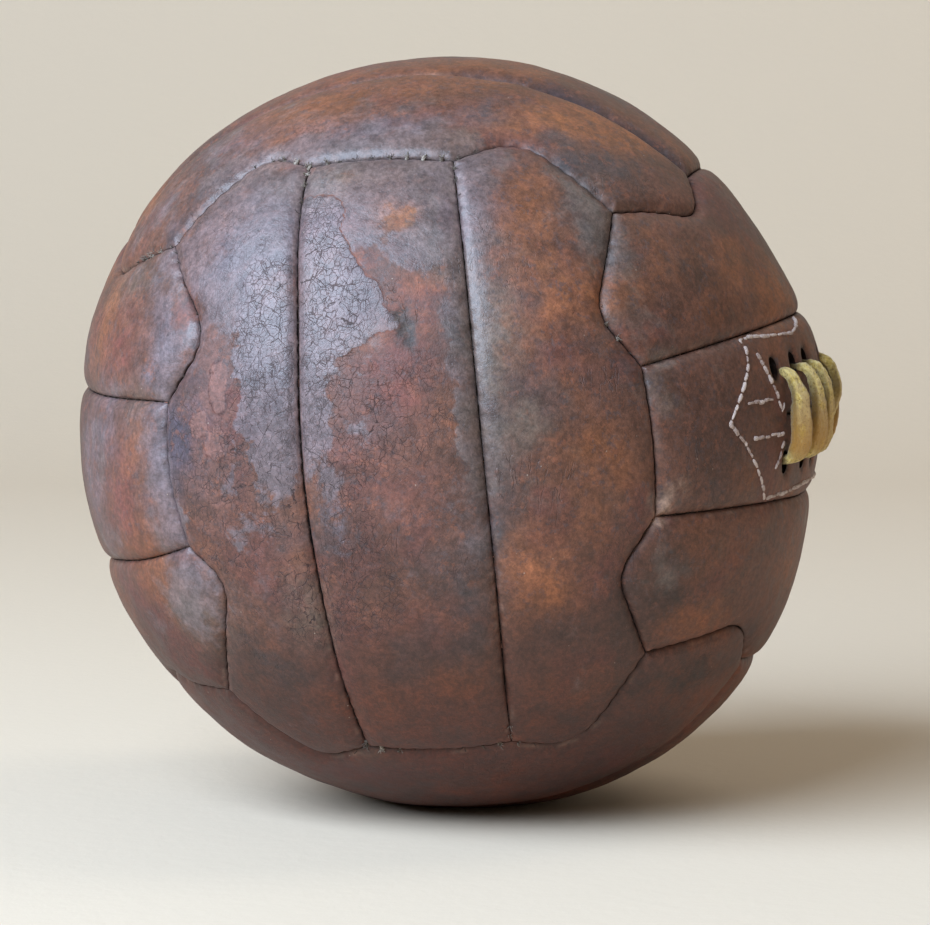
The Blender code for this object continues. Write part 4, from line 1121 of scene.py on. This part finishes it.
# ---------------------------------------------------------------- materials
class Shader:
    """A Principled material and short ways to add nodes to it."""

    def __init__(self, name):
        self.material = bpy.data.materials.new(name)
        self.material.use_nodes = True
        self.tree = self.material.node_tree
        self.principled = self.tree.nodes["Principled BSDF"]

    def put(self, socket, value):
        if isinstance(value, bpy.types.NodeSocket):
            self.tree.links.new(value, socket)
        elif value is not None:
            socket.default_value = value

    def node(self, kind, settings=None, **inputs):
        made = self.tree.nodes.new(kind)
        for key, value in (settings or {}).items():
            setattr(made, key, value)
        for key, value in inputs.items():
            self.put(made.inputs[key.replace("_", " ")], value)
        return made

    def math(self, operation, a, b=None, c=None, clamp=False):
        made = self.node("ShaderNodeMath", {"operation": operation, "use_clamp": clamp})
        for socket, value in zip(made.inputs, (a, b, c)):
            self.put(socket, value)
        return made.outputs[0]

    def ramp(self, value, low, high, to_low=0.0, to_high=1.0):
        made = self.node("ShaderNodeMapRange", {"interpolation_type": "SMOOTHSTEP"}, Value=value)
        for key, number in (("From Min", low), ("From Max", high), ("To Min", to_low), ("To Max", to_high)):
            made.inputs[key].default_value = number
        return made.outputs["Result"]

    def times(self, first, *others):
        for other in others:
            first = self.math("MULTIPLY", first, other)
        return first

    def total(self, *parts):
        """The sum of several values, each times its weight."""
        result = 0.0
        for value, weight in parts:
            result = self.math("MULTIPLY_ADD", value, weight, result)
        return result

    def mix(self, share, a, b, blend="MIX"):
        made = self.node("ShaderNodeMix", {"data_type": "RGBA", "blend_type": blend})
        self.put(made.inputs[0], share)
        for socket, value in ((made.inputs[6], a), (made.inputs[7], b)):
            self.put(socket, (*value, 1.0) if isinstance(value, tuple) and len(value) == 3 else value)
        return made.outputs[2]

    def coats(self, colour, *coats):
        """Colours laid over a first one in turn, each by its own share."""
        for share, coat in coats:
            colour = self.mix(share, colour, coat)
        return colour

    def shaded(self, colour, *factors):
        for factor in factors:
            colour = self.mix(1.0, colour, factor, "MULTIPLY")
        return colour

    def between(self, share, a, b):
        """Plain mixing of two numbers."""
        made = self.node("ShaderNodeMix", {"data_type": "FLOAT"})
        for place, value in ((0, share), (2, a), (3, b)):
            self.put(made.inputs[place], value)
        return made.outputs[0]

    def crack_line(self, edge, width):
        """1 on the edges between cells, within this width, and 0 off them."""
        return self.math("SUBTRACT", 1.0, self.ramp(self.math("DIVIDE", edge, width), 0.3, 1.0))

    def attribute(self, name, output="Fac"):
        return self.node("ShaderNodeAttribute", {"attribute_name": name}).outputs[output]

    def vector(self, operation, a, b):
        made = self.node("ShaderNodeVectorMath", {"operation": operation})
        self.put(made.inputs[0], a)
        self.put(made.inputs["Scale" if operation == "SCALE" else 1], b)
        return made.outputs[0]

    def millimetres(self):
        return self.vector("SCALE", self.node("ShaderNodeTexCoord").outputs["Object"], 1000.0)

    def noise(self, place, size, detail=4.0, roughness=0.55, distortion=0.0, output="Fac"):
        return self.node("ShaderNodeTexNoise", None, Vector=place, Scale=1.0 / size, Detail=detail,
                         Roughness=roughness, Distortion=distortion).outputs[output]

    def voronoi(self, place, size, feature="F1", output="Distance"):
        return self.node("ShaderNodeTexVoronoi", {"feature": feature}, Vector=place,
                         Scale=1.0 / size).outputs[output]

    def bump(self, height, distance):
        made = self.node("ShaderNodeBump", None, Height=height, Distance=distance, Strength=1.0)
        return made.outputs["Normal"]

    def finish(self, colour, roughness, normal, specular=0.5, **constants):
        self.put(self.principled.inputs["Base Color"], colour)
        self.put(self.principled.inputs["Roughness"], roughness)
        self.put(self.principled.inputs["Normal"], normal)
        self.principled.inputs["Specular IOR Level"].default_value = specular
        for key, value in constants.items():
            self.principled.inputs[key.replace("_", " ")].default_value = value
        return self.material


def leather_material():
    s = Shader("old_leather")
    mm = s.millimetres()
    tone, haze = s.attribute("tone", "Color"), s.attribute("haze", "Color")
    crack, seam = s.attribute("crack"), s.attribute("seam")
    grain = s.noise(mm, 0.55, 3.0, 0.6)
    mottle = s.noise(mm, 5.5, 6.0, 0.62, 0.3)
    speck = s.noise(mm, 1.4, 5.0, 0.65)
    patchy = s.noise(mm, 9.0, 4.0, 0.6)
    # the glossy finish is left in ragged islands, and as a haze where it hasn't cracked
    islands = s.math("MULTIPLY_ADD", s.attribute("film"), 0.62, s.noise(mm, 13.0, 9.0, 0.66, 0.3))
    flaky = s.ramp(crack, 0.25, 0.6)
    film = s.between(flaky, s.ramp(islands, 0.66, 0.90, 0.0, 0.95), s.ramp(islands, 0.74, 0.84))
    # jagged cracks round plates of the finish, finer ones across each plate, and a few long, deep ones
    sway, shake = (s.vector("SUBTRACT", s.noise(mm, size, 3.0, 0.6, output="Color"), (0.5, 0.5, 0.5))
                   for size in (6.0, 0.9))
    warped = s.vector("ADD", mm, s.vector("SCALE", sway, 2.2))
    warped = s.vector("ADD", warped, s.vector("SCALE", shake, 0.42))
    warped = s.vector("MULTIPLY", warped, (1.0, 1.0, 0.78))
    plate_edge = s.voronoi(warped, 3.0, "DISTANCE_TO_EDGE")
    plate_tint = s.voronoi(warped, 3.0, "F1", "Color")
    chip_edge = s.voronoi(warped, 1.6, "DISTANCE_TO_EDGE")
    chip_tint = s.voronoi(warped, 1.6, "F1", "Color")
    long_edge = s.voronoi(s.vector("MULTIPLY", warped, (1.0, 1.0, 0.75)), 8.0, "DISTANCE_TO_EDGE")
    opened = s.ramp(s.math("MULTIPLY_ADD", patchy, 0.8, crack), 0.70, 1.20)
    broken = s.noise(mm, 2.6, 3.0, 0.6, 0.0)
    line = s.times(s.crack_line(plate_edge, s.ramp(broken, 0.42, 0.66, 0.016, 0.038)),
                   opened, s.ramp(broken, 0.38, 0.54, 0.15, 1.0))
    chip_line = s.times(s.crack_line(chip_edge, 0.040), opened, s.ramp(patchy, 0.40, 0.56, 0.15, 0.8))
    long_line = s.times(s.crack_line(long_edge, s.ramp(broken, 0.40, 0.65, 0.005, 0.014)),
                        s.ramp(crack, 0.45, 0.85), s.ramp(broken, 0.38, 0.52))
    cracks = s.math("MAXIMUM", s.math("MAXIMUM", line, chip_line), long_line)
    # creases that run up and down
    crease = s.noise(s.vector("MULTIPLY", mm, (0.30, 0.30, 0.055)), 1.0, 3.0, 0.5)
    crease = s.math("ABSOLUTE", s.math("SUBTRACT", crease, 0.5))
    creased = s.ramp(s.noise(mm, 24.0, 3.0, 0.5), 0.54, 0.66)
    creases = s.times(s.ramp(crease, 0.003, 0.014, 1.0, 0.0), creased)
    # colour: the finish, with its painted sheen, over the leather, then flecks, plates, cracks and dust
    colour = s.mix(s.times(film, s.ramp(flaky, 0.0, 1.0, 0.50, 0.66)), tone, haze)
    colour = s.shaded(colour, s.ramp(mottle, 0.32, 0.68, 0.78, 1.22))
    flecked = s.times(s.ramp(patchy, 0.36, 0.58, 0.25, 1.0), s.ramp(s.attribute("low"), 0.0, 1.0, 1.0, 0.2))
    dark_fleck = s.times(s.ramp(s.noise(mm, 2.3, 6.0, 0.72), 0.53, 0.60, 0.0, 0.50), flecked)
    red_fleck = s.times(s.ramp(s.noise(mm, 3.1, 7.0, 0.72), 0.54, 0.61, 0.0, 0.45), flecked,
                        s.ramp(film, 0.2, 0.9, 1.0, 0.25))
    colour = s.coats(colour, (red_fleck, (0.240, 0.080, 0.042)), (dark_fleck, (0.075, 0.055, 0.058)))
    plate_shade = s.times(opened, s.ramp(plate_tint, 0.0, 1.0, -0.12, 0.12))
    colour = s.shaded(colour, s.ramp(speck, 0.35, 0.65, 0.78, 1.22), s.ramp(grain, 0.35, 0.65, 0.90, 1.10),
                      s.math("ADD", plate_shade, 1.0))
    dust = s.times(s.ramp(s.voronoi(mm, 4.5, "F1"), 0.030, 0.055, 1.0, 0.0),
                   s.ramp(s.noise(mm, 11.0, 3.0), 0.46, 0.60))
    colour = s.coats(
        colour,
        (s.times(creases, 0.35), (0.030, 0.016, 0.013)), (s.times(cracks, 0.66), (0.034, 0.017, 0.015)),
        (s.times(long_line, 0.45), (0.024, 0.012, 0.011)), (s.times(dust, 0.7), (0.42, 0.33, 0.26)))
    # heights in millimetres
    height = s.total(
        (grain, 0.100), (mottle, 0.15), (speck, 0.07),
        (s.times(s.ramp(plate_edge, 0.0, 0.28), opened), 0.02), (s.times(chip_tint, opened), 0.02),
        (cracks, -0.07), (creases, -0.10), (film, 0.04))
    normal = s.bump(height, 0.001)
    rough = s.math("MULTIPLY_ADD", film, -0.19, s.ramp(mottle, 0.3, 0.72, 0.50, 0.62))
    rough = s.math("MULTIPLY_ADD", cracks, 0.35, rough, clamp=True)
    rough = s.math("MAXIMUM", rough, s.ramp(seam, 0.1, 0.45, 0.85, 0.0))
    return s.finish(colour, rough, normal, 0.55)


def thread_material(name, dirty, clean, buried=False):
    """Sewing thread; where it is buried in a seam, only its pale places are clean."""
    s = Shader(name)
    fibre = s.noise(s.millimetres(), 0.28, 4.0, 0.7)
    wear = s.math("MULTIPLY_ADD", s.attribute("shade"), 0.25, fibre)
    colour = s.mix(s.ramp(wear, 0.38, 0.8), dirty, clean)
    if buried:
        colour = s.mix(s.attribute("pale"), (0.030, 0.019, 0.014), colour)
    return s.finish(colour, 0.88, s.bump(fibre, 0.00018), 0.25)


def suede_material():
    s = Shader("lace_suede")
    mm = s.millimetres()
    strand = s.attribute("strand", "Vector")
    streak = s.noise(s.vector("MULTIPLY", strand, (0.22, 1.0, 1.0)), 1.1, 4.0, 0.65)
    speckle = s.noise(mm, 0.95, 4.0, 0.72)
    cloud = s.noise(mm, 3.6, 3.0, 0.55)
    lowness, inner, face, rim = (s.attribute(name) for name in ("lowness", "inner", "face", "rim"))
    worn = s.ramp(s.math("MULTIPLY_ADD", lowness, 0.2, cloud), 0.46, 0.60, 0.0, 0.65)
    colour = s.coats(
        s.mix(s.ramp(cloud, 0.35, 0.65), (0.67, 0.475, 0.120), (0.78, 0.610, 0.230)),
        (s.ramp(speckle, 0.50, 0.66, 0.0, 0.75), (0.84, 0.72, 0.38)),
        (s.ramp(speckle, 0.36, 0.48, 0.75, 0.0), (0.20, 0.13, 0.045)),
        (s.ramp(streak, 0.50, 0.66, 0.0, 0.45), (0.30, 0.19, 0.075)),
        (s.times(face, worn), (0.44, 0.28, 0.13)), (s.times(rim, 0.85), (0.115, 0.066, 0.022)),
        (s.times(lowness, 0.75), (0.53, 0.255, 0.046)), (s.times(inner, 0.85), (0.10, 0.065, 0.030)))
    normal = s.bump(s.math("MULTIPLY_ADD", streak, 0.7, speckle), 0.00060)
    return s.finish(colour, 0.95, normal, 0.15, Sheen_Weight=0.25, Sheen_Roughness=0.5)


def lining_material():
    s = Shader("flesh_side_leather")
    mm = s.millimetres()
    fibre = s.noise(mm, 0.5, 6.0, 0.7)
    cloud = s.noise(mm, 6.0, 4.0, 0.6)
    colour = s.mix(s.ramp(cloud, 0.3, 0.7), (0.120, 0.070, 0.042), (0.210, 0.130, 0.080))
    colour = s.mix(s.ramp(fibre, 0.5, 0.75, 0.0, 0.5), colour, (0.300, 0.210, 0.140))
    return s.finish(colour, 0.9, s.bump(fibre, 0.0002), 0.3)


def rubber_material():
    s = Shader("bladder_rubber")
    mm = s.millimetres()
    powder = s.noise(mm, 5.0, 7.0, 0.7)
    pits = s.noise(mm, 0.6, 4.0, 0.6)
    colour = s.mix(s.ramp(powder, 0.35, 0.7), (0.230, 0.075, 0.045), (0.360, 0.190, 0.140))
    return s.finish(colour, 0.68, s.bump(pits, 0.00006), 0.4)


# ---------------------------------------------------------------- setting, light and camera
FLOOR_FRONT, FLOOR_BACK, FLOOR_SIDES = -3.0, 1.0, (-4.0, 4.0)
BEND_RADIUS, WALL_TOP = 0.8, 3.0
BALL_CENTRE = np.array([0.0, 0.0, REST_HEIGHT])
CAMERA_DISTANCE = 1.32
CAMERA_TILT = math.radians(4.7)
CAMERA_AIM = (0.0055, 0.0084)         # this far right of the ball's centre and below it


def build_setting():
    """A pale floor that curves up into the backdrop."""
    bend = [(FLOOR_BACK + BEND_RADIUS * math.sin(a), BEND_RADIUS - BEND_RADIUS * math.cos(a))
            for a in np.linspace(0.1, math.pi / 2, 14)]
    profile = [(FLOOR_FRONT, 0.0), (FLOOR_BACK, 0.0), *bend, (FLOOR_BACK + BEND_RADIUS, WALL_TOP)]
    points = np.array([(side, y, z) for y, z in profile for side in FLOOR_SIDES])
    faces = [(2 * i, 2 * i + 1, 2 * i + 3, 2 * i + 2) for i in range(len(profile) - 1)]
    mesh = bpy.data.meshes.new("backdrop")
    mesh.from_pydata(points.tolist(), [], faces)
    mesh.shade_smooth()
    s = Shader("pale_wall")
    mm = s.millimetres()
    plaster = s.noise(mm, 6.0, 5.0, 0.6)
    mesh.materials.append(s.finish((0.70, 0.59, 0.455, 1.0), 0.9, s.bump(plaster, 0.0002), 0.2))
    floor = bpy.data.objects.new("backdrop", mesh)
    bpy.context.scene.collection.objects.link(floor)


def aim(thing, place, target):
    thing.location = place
    thing.rotation_euler = (Vector(target) - Vector(place)).to_track_quat("-Z", "Y").to_euler()


def area_light(name, place, target, size, watts, colour):
    lamp = bpy.data.lights.new(name, "AREA")
    lamp.shape = "RECTANGLE"
    lamp.size, lamp.size_y = size
    lamp.energy = watts
    lamp.color = colour
    thing = bpy.data.objects.new(name, lamp)
    bpy.context.scene.collection.objects.link(thing)
    aim(thing, place, target)


def sky_place(distance, azimuth, elevation):
    """A place seen from the ball: azimuth 0 is in front of it, negative to the left."""
    return BALL_CENTRE + distance * direction(azimuth, elevation)


def build_lights():
    area_light("window", sky_place(1.9, -47, 36), BALL_CENTRE, (2.1, 1.4), 100.0, (0.64, 0.79, 1.0))
    area_light("room", sky_place(2.4, 50, 30), BALL_CENTRE, (2.5, 2.0), 3.5, (1.0, 0.84, 0.66))
    area_light("wall_wash", (1.3, 0.5, 2.0), (1.0, 1.7, 0.6), (1.8, 1.0), 14.0, (1.0, 0.97, 0.92))
    world = bpy.data.worlds.new("room_light")
    world.use_nodes = True
    background = world.node_tree.nodes["Background"]
    background.inputs["Color"].default_value = (1.0, 0.91, 0.80, 1.0)
    background.inputs["Strength"].default_value = 0.12
    bpy.context.scene.world = world
    bpy.context.scene.view_settings.view_transform = "Standard"


def build_camera():
    camera = bpy.data.cameras.new("camera")
    camera.lens = 172.8
    camera.sensor_width = 36.0
    camera.clip_start = 0.01
    thing = bpy.data.objects.new("camera", camera)
    bpy.context.scene.collection.objects.link(thing)
    right, below = CAMERA_AIM
    low, level = math.sin(CAMERA_TILT), math.cos(CAMERA_TILT)
    place = BALL_CENTRE + CAMERA_DISTANCE * np.array([0.0, -level, low])
    aim(thing, place, BALL_CENTRE + np.array([right, -below * low, -below * level]))
    bpy.context.scene.camera = thing


def main():
    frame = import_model()
    leather = leather_material()
    for group in GROUPS:
        for place in (-1, 0, 1):
            build_panel(group, place, leather)
    linen = thread_material("seam_linen", (0.120, 0.088, 0.066), (0.430, 0.370, 0.310), buried=True)
    for name in SEAMS:
        build_seam_thread(name, linen)
    white = thread_material("white_cotton", (0.280, 0.185, 0.155), (0.660, 0.540, 0.485))
    build_dashes("patch_stitching", PATCH_STITCHES, white, 21)
    for number, (place, corners) in enumerate(TONGUE_STITCHES.items()):
        build_dashes(f"tongue_stitch_{place}", corners, white, 30 + number)
    build_lace(suede_material())
    lining, rubber = lining_material(), rubber_material()
    for node, stuff in (("lining_patch", lining), ("tongue", lining),
                        ("bladder", rubber), ("neck_tie", linen)):
        for slot in frame["nodes"][node].material_slots:
            slot.material = stuff
    build_setting()
    build_lights()
    build_camera()


main()
